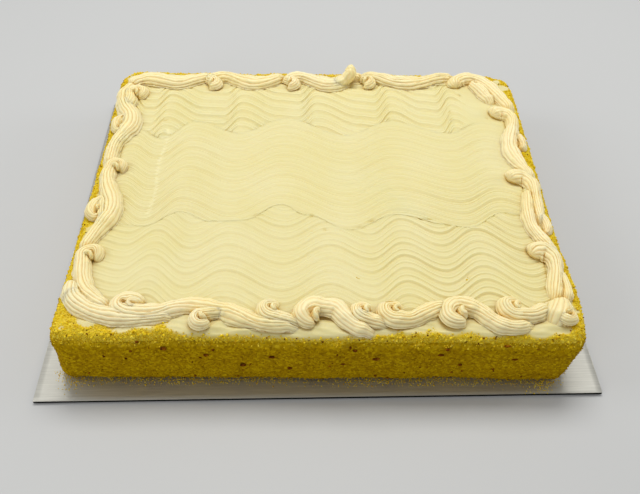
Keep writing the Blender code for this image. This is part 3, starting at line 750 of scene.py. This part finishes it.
# Each pass: its wave, its lowest and highest row, and how deep it is cut at each place.
PASSES = {
    "combed_front": (FRONT_PASS, -151, -27, lambda x, y: 0.5 + 0.4 * ease(20, 80, x)),
    "combed_back": (BACK_PASS, 32, 132, lambda x, y: 0.85 * (1.0 - 0.8 * ease(113, 121, x))),
    "combed_middle": (MIDDLE_PASS, -37, 71, lambda x, y: 0.42 + 0.2 * ease(-60, -100, x)
                      + 0.35 * ease(40, 90, x) * ease(10, -20, y)),
}


def inside_pass(name, x, y):
    """How far each place lies inside the edges between the passes."""
    front_edge, back_edge = wave(FRONT_EDGE, x), wave(MIDDLE_PASS, x) + BACK_EDGE
    return {"combed_front": front_edge - y, "combed_back": y - back_edge,
            "combed_middle": np.minimum(y - front_edge, back_edge - y)}[name]


def combed_sheet(name):
    turns, low, high, strength = PASSES[name]
    sheet = added(name, bpy.ops.mesh.primitive_grid_add, x_subdivisions=round(2 * FIELD_HALF[0] / COLUMN_STEP),
                  y_subdivisions=round((high - low) / ROW_STEP), size=2, location=(0, 0, 0))
    flat = read_points(sheet) * MM
    x = flat[:, 0] * (FIELD_HALF[0] + 1.0)
    row = low + (flat[:, 1] + 1) / 2 * (high - low)
    y = row + wave(turns, x)
    inside = inside_pass(name, x, y)
    on_top = name == "combed_middle"
    depth = tooth_depth(name, row, x) * strength(x, y) + marks_depth(x, y)
    depth += (-0.1 if on_top else 0.08) * hump(inside - 1.0, 1.8)
    dip = ease(0.3, -0.9, inside) if on_top else ease(-0.2, -1.6, inside)
    rim = np.maximum(ease(FIELD_HALF[0] - 1.5, FIELD_HALF[0] + 1, np.abs(x)),
                     ease(FIELD_HALF[1] - 1.5, FIELD_HALF[1] + 1, np.abs(y)))
    write_points(sheet, np.stack([x, y, PASS_TOP - depth - RIM_DIP * np.maximum(dip, rim)], axis=1))
    # The depth of the grooves asks for painted shade, and the raised lips and the ridge for a painted highlight.
    store(sheet, "groove", np.clip(depth, 0, 1))
    store(sheet, "lip", np.clip(-1.2 * depth, 0, 1))
    with edit_mode():
        bpy.ops.mesh.select_mode(type="VERT")
        bpy.ops.mesh.select_all(action="DESELECT")
    sheet.data.vertices.foreach_set("select", (inside < -OVERLAP) | (np.abs(y) > FIELD_HALF[1] + 1.2))
    with edit_mode():
        bpy.ops.mesh.delete(type="VERT")
    ripple(sheet, "CLOUDS", 30.0, 0.5, direction="Z", noise_depth=1)
    ripple(sheet, "CLOUDS", 2.2, 0.18, direction="Z", noise_depth=2)
    close_below(sheet, 1.2)
    finish_piece(sheet, combed_finish, "icing")
    return sheet


combed = {name: combed_sheet(name) for name in PASSES}

# %% [markdown]
# ## The piped border
#
# A star nozzle leaves a rope with a strand for each of its teeth. The hand makes a curl, then pulls away in a
# tail, and the next curl covers the tail's end. The rope spreads where the hand slows and thins where it hurries.
# A curve with a star bevel would fold through itself inside such tight curls, so the rope is swept in code: at
# each step the star is narrowed on the inside of the bend, which crowds the strands together there just as the
# icing does.

# %% Sweeping a rope
STRANDS, FINE_STRANDS = 9, 4
POINTS_PER_STRAND = 6
ROPE_STEP = 0.9
GROOVE_DEPTH = 1.0
TAIL_SINK = 5.0
rng = np.random.default_rng(11)


def smooth_path(places, step):
    """Points a step apart on a smooth curve through the places, each with its x, y, z and width."""
    places = np.asarray(places, float)
    ends = np.vstack([2 * places[0] - places[1], places, 2 * places[-1] - places[-2]])
    fine = []
    for before, start, end, after in zip(ends, ends[1:], ends[2:], ends[3:]):
        t = np.linspace(0, 1, 24, endpoint=False)[:, None]
        fine.append(0.5 * (2 * start + (end - before) * t + (2 * before - 5 * start + 4 * end - after) * t ** 2
                           + (3 * start - before - 3 * end + after) * t ** 3))
    fine = np.vstack(fine + [places[-1:]])
    run = np.concatenate([[0], np.cumsum(np.linalg.norm(np.diff(fine[:, :3], axis=0), axis=1))])
    at = np.linspace(0, run[-1], max(6, int(run[-1] / step)))
    return np.stack([np.interp(at, run, fine[:, axis]) for axis in range(4)], axis=1), at


def rope_places(head, tail, lift):
    """The places of a rope: from the blunt start of its head, round its knob and down into its tail."""
    places = []
    if head is not None:
        x, y, across, along, start, turn, width = head
        for share in np.linspace(0, 1, 10):
            bearing = math.radians(start + turn * share)
            grown = min(share / 0.45, 1.0)
            reach = 0.62 + 0.38 * grown
            places.append((x + across * reach * math.cos(bearing), y + along * reach * math.sin(bearing),
                           lift - 1.0 * (1 - grown) + 1.0 * math.sin(math.pi * share * 0.85),
                           width * (0.5 + 0.5 * grown)))
    for i, (x, y, width) in enumerate(tail):
        low = 0.7 - 0.35 * i if head is not None else 1 - i / 2
        places.append((x, y, lift * max(0.0, low), width))
    return places


def knob_places(head, lift):
    """A small curl that lies on the middle of a head, shifted to the head's open side."""
    x, y, across, along, start, turn, width = head
    open_side = math.radians(start + turn / 2 + 180)
    x, y = x + 0.1 * width * math.cos(open_side), y + 0.1 * width * math.sin(open_side)
    places = []
    for share in np.linspace(-0.1, 1.05, 7):
        bearing = math.radians(start + turn * share)
        reach = 0.15 * width
        places.append((x + reach * across / along * math.cos(bearing), y + reach * math.sin(bearing),
                       lift + 2.2 + 1.2 * math.sin(math.pi * np.clip(share, 0, 1)), 0.36 * width))
    return places


def strand_edges(at, rows, strands):
    """Where the strands meet, as shares of the way over the rope, wandering slowly along it."""
    widths = rng.uniform(0.75, 1.3, strands)[None, :] * np.ones((rows, 1))
    for strand in range(strands):
        widths[:, strand] *= 1 + 0.22 * np.sin(at / rng.uniform(5, 12) + rng.uniform(0, 6))
    edges = np.concatenate([np.zeros((rows, 1)), np.cumsum(widths, axis=1)], axis=1)
    return edges / edges[:, -1:]


def tube_faces(rows, columns):
    """The faces of a tube made of rings, with one face over each end."""
    index = np.arange(rows * columns).reshape(rows, columns)
    following = np.roll(index, -1, axis=1)
    around = np.stack([index[:-1], following[:-1], following[1:], index[1:]], axis=-1).reshape(-1, 4)
    return around.tolist() + [index[0][::-1].tolist(), index[-1].tolist()]


def rope_arrays(places):
    """Points, faces and groove values of one rope."""
    path, at = smooth_path(places, ROPE_STEP)
    rows, length = len(path), at[-1]
    width = path[:, 3]
    tangent = np.gradient(path[:, :2], axis=0)
    tangent /= np.maximum(np.linalg.norm(tangent, axis=1, keepdims=True), 1e-6)
    left = np.stack([-tangent[:, 1], tangent[:, 0]], axis=1)
    heading = np.unwrap(np.arctan2(tangent[:, 1], tangent[:, 0]))
    bend = np.gradient(heading) / np.maximum(np.gradient(at), 1e-6)
    bend = np.convolve(np.pad(bend, 3, mode="edge"), np.ones(7) / 7, mode="valid")
    start_cap, end_cap = (np.sqrt(1 - np.clip(1 - away / (0.3 * width), 0, 1) ** 2) for away in (at, length - at))
    breath = 1 + 0.04 * np.sin(at / 4.3 + rng.uniform(0, 6)) + 0.03 * np.sin(at / 1.9 + rng.uniform(0, 6))
    size = np.maximum(start_cap * end_cap, 0.08) * breath
    half = width / 2 * size
    inside = np.minimum(half, 0.93 / np.maximum(np.abs(bend), 1e-4))
    left_half = np.where(bend > 0, inside, half)
    right_half = np.where(bend < 0, inside, half)
    height = np.clip(0.2 * width + 3.5, 4.3, 7.8) * size
    per = POINTS_PER_STRAND
    strands = STRANDS if width.max() > 7 else FINE_STRANDS
    edges = strand_edges(at, rows, strands)
    share = np.tile(np.arange(per) / per, strands)
    strand = np.repeat(np.arange(strands), per)
    over = edges[:, strand] * (1 - share) + edges[:, strand + 1] * share
    over = np.concatenate([over, np.ones((rows, 1))], axis=1)
    share = np.append(share, 0.0)
    groove = 1 - np.clip(1 - (2 * share - 1) ** 2, 0, 1) ** 0.38
    tooth = rng.uniform(0.6, 1.3, strands + 1)[np.append(np.round(strand + share[:-1]).astype(int), strands)]
    cut = GROOVE_DEPTH * (groove * tooth)[None, :] * np.clip(half / 6, 0.15, 1)[:, None]
    turn = over * math.pi
    across = -np.cos(turn)
    up = 1 - np.abs(across) ** 2.4
    half_at = np.where(across > 0, left_half[:, None], right_half[:, None])
    side = across * np.maximum(half_at - cut * np.abs(across), 0.15)
    rise = up * np.maximum(height[:, None] - cut * up, 0.1)
    side = np.concatenate([side[:, :1], side, side[:, -1:]], axis=1)
    rise = np.concatenate([rise[:, :1] - 1.2, rise, rise[:, -1:] - 1.2], axis=1)
    points = np.empty((rows, side.shape[1], 3))
    points[:, :, :2] = path[:, None, :2] + left[:, None, :] * side[:, :, None]
    points[:, :, 2] = (path[:, 2] - TAIL_SINK * ease(9, 0, length - at) * (length > 20))[:, None] + rise
    # The rows at the foot get 0.6: painted shade where the rope meets the icing. The rest is the groove between
    # strands.
    crease = np.concatenate([[0.6], np.clip(groove * tooth, 0, 1), [0.6]])
    return points.reshape(-1, 3), tube_faces(rows, points.shape[1]), np.tile(crease, rows)


# %% [markdown]
# The last rope of the back was pulled up when the nozzle left it and stands as a peak that bends to its tip. It
# isn't level, so it is a tube of its own: rings with eight soft lobes along a smooth path that shrink to the tip.

# %% The pulled peak
PEAK_ROUTE = (
    (14.0, 117.0, 1.5, 9), (18.0, 117.8, 3.8, 9.5), (23.0, 119.4, 5.6, 10), (26.8, 121.5, 9.6, 9.8),
    (27.0, 123.6, 13.2, 8.2), (25.6, 124.2, 16.2, 5.0))
PEAK_COLUMNS, PEAK_LOBES = 40, 8


def peak_arrays():
    """Points, faces and groove values of the peak."""
    path, at = smooth_path(PEAK_ROUTE, 0.7)
    along = np.gradient(path[:, :3], axis=0)
    along /= np.linalg.norm(along, axis=1, keepdims=True)
    side = np.cross(along, (0.0, 1.0, 0.0))
    side /= np.linalg.norm(side, axis=1, keepdims=True)
    over = np.cross(side, along)
    bearing = np.arange(PEAK_COLUMNS) * 2 * np.pi / PEAK_COLUMNS
    lobe = np.abs(np.cos(bearing * PEAK_LOBES / 2)) ** 0.6
    radius = path[:, 3] / 2 * np.maximum(np.sqrt(1 - np.clip(1 - (at[-1] - at) / 3.0, 0, 1) ** 2), 0.08)
    reach = radius[:, None] * (0.86 + 0.14 * lobe)[None, :]
    ring = np.cos(bearing)[:, None] * side[:, None, :] + np.sin(bearing)[:, None] * over[:, None, :]
    points = path[:, None, :3] + reach[:, :, None] * ring
    # Between the lobes the groove values ask for painted shade.
    return points.reshape(-1, 3), tube_faces(len(path), PEAK_COLUMNS), np.tile(0.6 * (1 - lobe), len(path))


# %% [markdown]
# The ropes are listed in the order that they were piped. A head is its middle, how far the rope's own middle
# runs from there across and along the cake, the bearing where it starts, how far it turns, and its width. Then
# come the places of the tail with the width at each, and how much the head rides up on the tail before it.

# %% The ropes
ROPES = {
    "left": (
        ((-149.5, 100.5, 5.4, 5.0, -70, 250, 11), ((-153.5, 92, 13), (-154.5, 84, 12), (-155, 74, 10)), 0.6),
        (None, ((-154, 112, 12), (-159, 103, 13), (-158.5, 93, 14), (-154.5, 82, 16), (-149.5, 72, 18),
         (-148, 60, 18.5), (-151, 49, 16), (-155, 37, 11.5), (-156, 24, 11), (-155, 10, 11)), 0.0),
        ((-154.6, 60, 3.6, 7.8, -50, -240, 9.5), ((-150.5, 47, 8), (-153, 36, 6)), 0.3),
        ((-148.5, 9, 4.8, 4.8, -40, 225, 11), ((-153.8, 0, 12), (-151, -11, 14), (-147, -22, 16), (-144.5, -34, 17),
         (-146.5, -45, 15), (-151, -56, 12), (-154.5, -66, 10), (-156, -75, 9)), 0.7),
        ((-153.2, -34, 4.4, 8.0, -50, -240, 10), ((-148.5, -47, 8), (-151, -59, 6)), 0.3),
        ((-149.5, -77, 5.2, 5.0, -40, 225, 11), ((-153, -86, 12), (-150.5, -96, 13), (-146, -105, 13),
         (-138.5, -113, 12), (-128, -118.5, 10)), 0.8),
        (None, ((-155.5, -97, 9), (-155.5, -102.5, 13), (-154, -108.5, 14), (-150.5, -113, 12)), 0.2),
        (None, ((-154.5, -104.5, 12), (-152.5, -110.5, 15), (-147.5, -115.5, 15.5), (-138, -120.5, 15),
         (-126, -124, 14), (-113, -125.5, 12.5), (-99, -124, 10), (-87, -121, 8)), 1.2),
    ),
    "front": (
        ((-114, -117, 9.0, 5.2, 30, 240, 14), ((-100, -121.5, 14), (-88, -117.5, 13), (-75, -116, 14),
         (-62, -118.5, 15), (-50, -123, 15), (-38, -127.5, 13), (-24, -130, 10), (-10, -130.5, 8)), 0.9),
        ((-70.5, -127, 4.8, 4.4, -20, -230, 9), ((-61, -121.5, 9), (-52, -122, 6)), 1.2),
        ((-27, -120, 5.8, 5.0, 60, 210, 12), ((-16, -127.5, 10), (-8, -128, 7)), 1.3),
        ((-1, -124, 8.0, 7.5, -100, -190, 15), ((11, -118, 15), (18, -126, 13), (25, -131.5, 12), (36, -133, 8)),
         1.4),
        ((30, -121, 5.6, 5.0, 60, 210, 12), ((37, -127.5, 10), (46, -128, 7)), 1.0),
        ((48, -120.5, 6.0, 5.4, 50, 230, 13), ((57, -125.5, 12), (65, -121, 13), (74, -116.5, 12), (85, -114.5, 8)),
         1.3),
        ((88.5, -122, 7.6, 7.2, -70, -210, 14), ((99, -118, 14), (106, -125, 13), (113, -129.5, 12),
         (124, -130, 10), (134, -126, 7)), 1.5),
        ((123, -117, 6.2, 5.8, 60, 220, 13), ((133, -121.5, 12), (140, -118, 12), (149, -115, 9)), 1.0),
        (None, ((153, -109, 14), (151, -116, 19), (147.5, -123, 21), (144, -129, 18)), 1.2),
        ((154, -122.5, 3.6, 4.0, 60, -250, 8), ((150, -126, 7),), 2.2),
    ),
    "back": (
        (None, ((-157, 113, 11), (-151, 120, 14), (-141, 122.5, 16), (-129, 120, 17), (-117, 118, 16),
         (-106, 121, 14), (-96, 124.5, 12), (-86, 127, 9)), 0.2),
        ((-89.5, 115.5, 4.6, 4.8, -110, 210, 11), ((-88, 124, 12), (-78, 126, 13), (-66, 122, 15), (-54, 118.5, 17),
         (-43, 120.5, 15), (-34, 124.5, 12), (-25, 127.5, 9)), 0.8),
        ((-24.5, 116.5, 4.6, 4.8, -110, 210, 11), ((-22, 125, 13), (-12, 126, 13), (-1, 121, 15), (8, 117.5, 17),
         (17, 117.5, 15), (23, 121, 12), (27, 126, 9)), 0.9),
        ((39.5, 119.5, 4.4, 4.6, -110, 210, 10), ((42, 127.5, 13), (52, 127, 13), (63, 123, 15), (75, 120.5, 17),
         (87, 121.5, 15), (98, 126, 13), (108, 128.5, 11), (119, 127, 8)), 0.7),
        (None, ((20, 126, 10), (31, 128, 11), (42, 127, 9)), 0.15),
        (None, ((117, 115, 12), (117, 121.5, 15), (124, 127, 14), (134, 126, 14), (142, 119, 15), (147, 109, 15),
         (151.5, 99, 13), (155.5, 89, 11), (156.5, 79, 9)), 1.0),
        (None, ((129, 121, 8), (135.5, 112, 12), (140, 102, 12), (145, 92, 9)), 0.35),
    ),
    "right": (
        (None, ((140, 77, 13), (144.5, 79.5, 16), (150, 79.5, 16), (155, 74.5, 12.5), (155.5, 66, 11),
         (152.5, 56, 13), (148.8, 44, 15), (148, 32, 15), (151.5, 19, 13), (155.5, 8, 11), (156.5, -4, 9)), 2.0),
        (None, ((156, 52, 6), (158, 46, 7.5), (158.5, 40, 7.5), (156, 35, 6)), 0.25),
        (None, ((140, 0.5, 13), (145, 3.5, 16.5), (151, 3.5, 16), (156, -2.5, 12.5), (157, -12, 10), (156, -25, 10),
         (155, -36, 9), (155.5, -46, 7)), 2.4),
        (None, ((150.5, -12, 7), (149.5, -24, 10), (147.5, -36, 11), (148, -47, 11), (152, -57, 11), (156, -67, 10),
         (156.5, -77, 8)), 0.5),
        (None, ((156, -36, 6), (158.5, -42, 7.5), (158.5, -49, 7), (155.5, -54, 5)), 0.4),
        (None, ((141, -72.5, 13), (145.5, -69.5, 16.5), (152, -69.5, 16), (156.5, -75.5, 12.5), (156, -84, 11),
         (153.5, -95, 11.5), (151.5, -104, 11), (150, -113, 9)), 2.4),
        (None, ((158, -88, 6), (159, -98, 8), (158, -108, 8), (155, -115, 7)), 0.2),
    ),
}


def piece_from(name, parts):
    """One piece from several sets of points, in the cake's millimetres, and of faces."""
    points, faces = [], []
    for part_points, part_faces in parts:
        start = sum(len(block) for block in points)
        faces += [[i + start for i in face] for face in part_faces]
        points.append(part_points)
    mesh = bpy.data.meshes.new(name)
    mesh.from_pydata((np.vstack(points) * MM).tolist(), [], faces)
    mesh.update()
    return new_object(name, mesh)


for side, ropes in ROPES.items():
    arrays = []
    for head, tail, lift in ropes:
        arrays.append(rope_arrays(rope_places(head, tail, lift)))
        if head is not None:
            arrays.append(rope_arrays(knob_places(head, lift)))
    if side == "back":
        arrays.append(peak_arrays())
    border = piece_from("piping_" + side, [(points + (0, 0, ICING_TOP), faces) for points, faces, grooves in arrays])
    store(border, "groove", np.concatenate([grooves for points, faces, grooves in arrays]))
    faces_out(border)
    ripple(border, "CLOUDS", 9.0, 1.5, noise_depth=1)
    ripple(border, "CLOUDS", 2.4, 0.7, noise_depth=1)
    finish_piece(border, piped_finish, "border_" + side)

# %% [markdown]
# ## Loose crumbs
#
# The crumb was pressed on by the handful, so it stands out from the coat in grains, climbs on to the icing in
# ragged patches, thickest at the front left corner, and lies scattered on the board. Four knobbly grains are
# made from small icospheres. Geometry Nodes strews them over a surface where its "strewn" attribute is high, each
# turned and sized at random, and the copies are made real so that they are part of one mesh.

# %% Grains to strew
grain_shapes = bpy.data.collections.new("grain_shapes")
bpy.context.scene.collection.children.link(grain_shapes)
for number in range(4):
    grain = added(f"grain_{number}", bpy.ops.mesh.primitive_ico_sphere_add, subdivisions=1, radius=0.5 * MM)
    for vert in grain.data.vertices:
        vert.co *= rng.uniform(0.6, 1.4)
        vert.co.z *= 0.75
    for collection in list(grain.users_collection):
        collection.objects.unlink(grain)
    grain_shapes.objects.link(grain)


def strew(name, host, per_square_mm, sizes, finish, seed, stretch=1.0):
    """Strews grains of crumb over a host piece: so many where its strewn attribute is 1, none where it is 0."""
    tree = bpy.data.node_groups.new(name, "GeometryNodeTree")
    tree.interface.new_socket("Geometry", in_out="OUTPUT", socket_type="NodeSocketGeometry")
    surface = add_node(tree, "GeometryNodeObjectInfo", Object=host)
    cover = add_node(tree, "GeometryNodeInputNamedAttribute", data_type="FLOAT", Name="strewn")
    density = add_node(tree, "ShaderNodeMath", operation="MULTIPLY", _0=cover.outputs["Attribute"],
                       _1=per_square_mm / MM ** 2)
    points = add_node(tree, "GeometryNodeDistributePointsOnFaces", Seed=seed, Mesh=surface.outputs["Geometry"],
                      Density=density.outputs[0])
    grains = add_node(tree, "GeometryNodeCollectionInfo", Collection=grain_shapes, Separate_Children=True,
                      Reset_Children=True)
    turned = add_node(tree, "FunctionNodeRandomValue", data_type="FLOAT_VECTOR", Seed=seed, _1=(6.28, 6.28, 6.28))
    sized = add_node(tree, "FunctionNodeRandomValue", data_type="FLOAT_VECTOR", Seed=seed + 1,
                     _0=(sizes[0],) * 3, _1=(sizes[1] * stretch, sizes[1], sizes[1]))
    placed = add_node(tree, "GeometryNodeInstanceOnPoints", Pick_Instance=True, Points=points.outputs["Points"],
                      Instance=grains.outputs["Instances"], Rotation=turned.outputs[0], Scale=sized.outputs[0])
    real = add_node(tree, "GeometryNodeRealizeInstances", Geometry=placed.outputs["Instances"])
    add_node(tree, "NodeGroupOutput", Geometry=real.outputs["Geometry"])
    piece = new_object(name, bpy.data.meshes.new(name))
    piece.modifiers.new("strew", "NODES").node_group = tree
    apply_modifiers(piece)
    piece.data.transform(TO_FRAME.inverted())
    finish_piece(piece, finish, "cake")


def set_cover(piece, values):
    """Sets where grains are strewn on a piece, and how thickly."""
    store(piece, "strewn", values)
    keep_off_caps(piece)


def cake_places(piece):
    """The points of a finished piece in the cake's millimetres again."""
    return (read_points(piece) - np.array(TO_FRAME.translation) / MM) @ np.array(CAKE_TURN.to_3x3())


# %% Crumbs on the coat and the shoulder
set_cover(coat, np.interp(coat_height, (0.2, 1.2, 3, 8, 38, 44, 46), (2.5, 2.0, 0.9, 0.6, 0.6, 1, 2)))
strew("coat_crumbs", coat, 0.14, (0.5, 1.6), crumb_finish, 3)
strew("coat_baked_crumbs", coat, 0.004, (0.8, 2.4), baked_finish, 5, 1.3)
set_cover(coat, np.interp(coat_height, (0.3, 1.6, 2.6), (1, 0.5, 0)))
strew("foot_crumbs", coat, 1.3, (0.9, 2.4), crumb_finish, 21)
x, y, z = cake_places(coat).T
bare = (y < -100) * ease(3.5, 0.5, np.interp(x, *CLIMB["front"]))
set_cover(coat, np.interp(coat_height, (41.0, 44.0, 46.0), (0, 0.5, 1)) * (1 - 0.8 * bare))
strew("rim_crumbs", coat, 0.9, (0.6, 1.8), lit_crumb_finish, 17)
strew("shoulder_crumbs", icing_top, 0.86, (0.5, 1.5), lit_crumb_finish, 7)
strew("shoulder_lumps", icing_top, 0.09, (1.6, 3.0), lit_crumb_finish, 19)
strew("shoulder_baked_crumbs", icing_top, 0.02, (0.7, 1.7), baked_finish, 9, 1.3)

# %% Brown specks, and crumbs that fell
# Bits of browned crust that show in the front of the cake: x, height, how wide and how tall.
SPECKS = (
    (-46.9, 23.3, 4.2, 2.6), (0.4, 11.9, 3.4, 2.2), (-17.5, 20.1, 3.2, 3.0), (-28.4, 32.6, 4.6, 2.4),
    (-64.1, 40.1, 1.8, 1.6), (15.9, 25.1, 3.0, 1.8), (36.2, 31.0, 5.0, 3.0), (22.7, 39.8, 3.0, 1.8),
    (-69.0, 34.5, 3.6, 2.4), (-118.9, 30.6, 2.2, 1.8), (-94.4, 40.8, 4.5, 3.2), (115.8, 44.1, 5.0, 1.8),
    (122.8, 31.9, 4.6, 1.8), (89.6, 24.7, 2.6, 2.0), (76.0, 35.9, 4.0, 2.2), (79.5, 41.5, 3.0, 2.0),
    (111.3, 20.2, 2.2, 1.6), (-109.9, 45.5, 2.4, 1.6))
specks = []
for x, height, wide, tall in SPECKS:
    speck = added("speck", bpy.ops.mesh.primitive_ico_sphere_add, subdivisions=2, radius=0.5,
                  location=(x * MM, 0, height * MM))
    stand_out = np.interp(height, LEAN["height"], LEAN["front"])
    corners = np.array([vert.co for vert in speck.data.vertices])
    corners = corners * rng.uniform(0.8, 1.15, (len(corners), 1)) * (wide, 1.6, tall)
    specks.append((corners + (x, -HALF_DEPTH - stand_out, height),
                   [list(face.vertices) for face in speck.data.polygons]))
    bpy.data.objects.remove(speck)
finish_piece(piece_from("baked_specks", specks), baked_finish, "cake")

# Little heaps of crumb that fell on the board and on the icing: x, y and reach.
CARD_DUST = ((153, -136, 4), (146, -140, 4), (156, -128, 4), (-158, -138, 4), (-163, -130, 3.5))
ICING_DUST = ((25, -92, 0.8), (98, -91, 0.8))
for name, host, heaps, per_square_mm, sizes in (
        ("board_crumbs", top_film, CARD_DUST, 0.56, (0.4, 1.3)),
        ("icing_crumbs", combed["combed_front"], ICING_DUST, 1.2, (0.5, 1.1))):
    x, y, z = cake_places(host).T
    cover = np.zeros(len(x))
    for heap_x, heap_y, reach in heaps:
        cover = np.maximum(cover, np.exp(-((x - heap_x) ** 2 + (y - heap_y) ** 2) / (2 * reach ** 2)))
    if host is top_film:
        foot_x = HALF_WIDTH + np.where(x > 0, LEAN["right"][0], LEAN["left"][0])
        foot_y = HALF_DEPTH + np.where(y > 0, LEAN["back"][0], LEAN["front"][0])
        near = np.maximum(np.abs(x) - foot_x, np.abs(y) - foot_y)
        cover = np.maximum(cover, ease(3.0, -0.5, near) * (near > -6)) * (read_points(host)[:, 2] > 1.9)
    set_cover(host, cover)
    strew(name, host, per_square_mm, sizes, lit_crumb_finish, 13)
for grain in list(grain_shapes.objects):
    bpy.data.objects.remove(grain)
bpy.data.collections.remove(grain_shapes)

# %% [markdown]
# ## Floor and light
#
# The cake stands on a plain pale floor. The light is a kitchen's: wide lamps overhead and behind, so the top is
# bright, the ridges of the icing cast short soft shadows to the front, and the front of the cake is in shade. Two
# faint lamps at the front left and the right lift those shades a little. They leave no shine on the icing.

# %% Floor
FLOOR_DROP = 0.5 * MM
floor = added("floor", bpy.ops.mesh.primitive_plane_add, size=6, location=(0, 0, -FLOOR_DROP))
floor.data.materials.append(new_finish("pale_floor", Roughness=0.6, Base_Color=linear("#C4C4C2"))[0])

# %% Light
LAMP_AIM = Vector((0, 0, 0.05))
# Each lamp: where it hangs, its width and depth, its watts, and whether it shows as shine.
LAMPS = {
    "overhead_light": ((0.04, 0.5, 1.35), (0.9, 0.5), 13.0, True),
    "side_light": ((-1.2, 0.0, 0.9), (0.6, 0.6), 3.4, True),
    "front_light": ((-0.65, -0.8, 0.42), (0.4, 0.4), 1.3, False),
    "right_light": ((1.1, 0.1, 0.55), (0.4, 0.4), 2.2, False),
}
for name, (where, size, watts, shine) in LAMPS.items():
    data = bpy.data.lights.new(name, "AREA")
    data.shape = "RECTANGLE"
    data.size, data.size_y = size
    data.energy = watts
    lamp = new_object(name, data)
    lamp.location = where
    lamp.rotation_euler = (LAMP_AIM - lamp.location).to_track_quat("-Z", "Y").to_euler()
    lamp.visible_glossy = shine
world = bpy.data.worlds.new("soft_room")
bpy.context.scene.world = world
world.use_nodes = True
set_node(world.node_tree.nodes["Background"], Color=linear("#F2F4F6"), Strength=0.42)
bpy.context.scene.view_settings.view_transform = "Standard"
print("lights:", list(LAMPS))
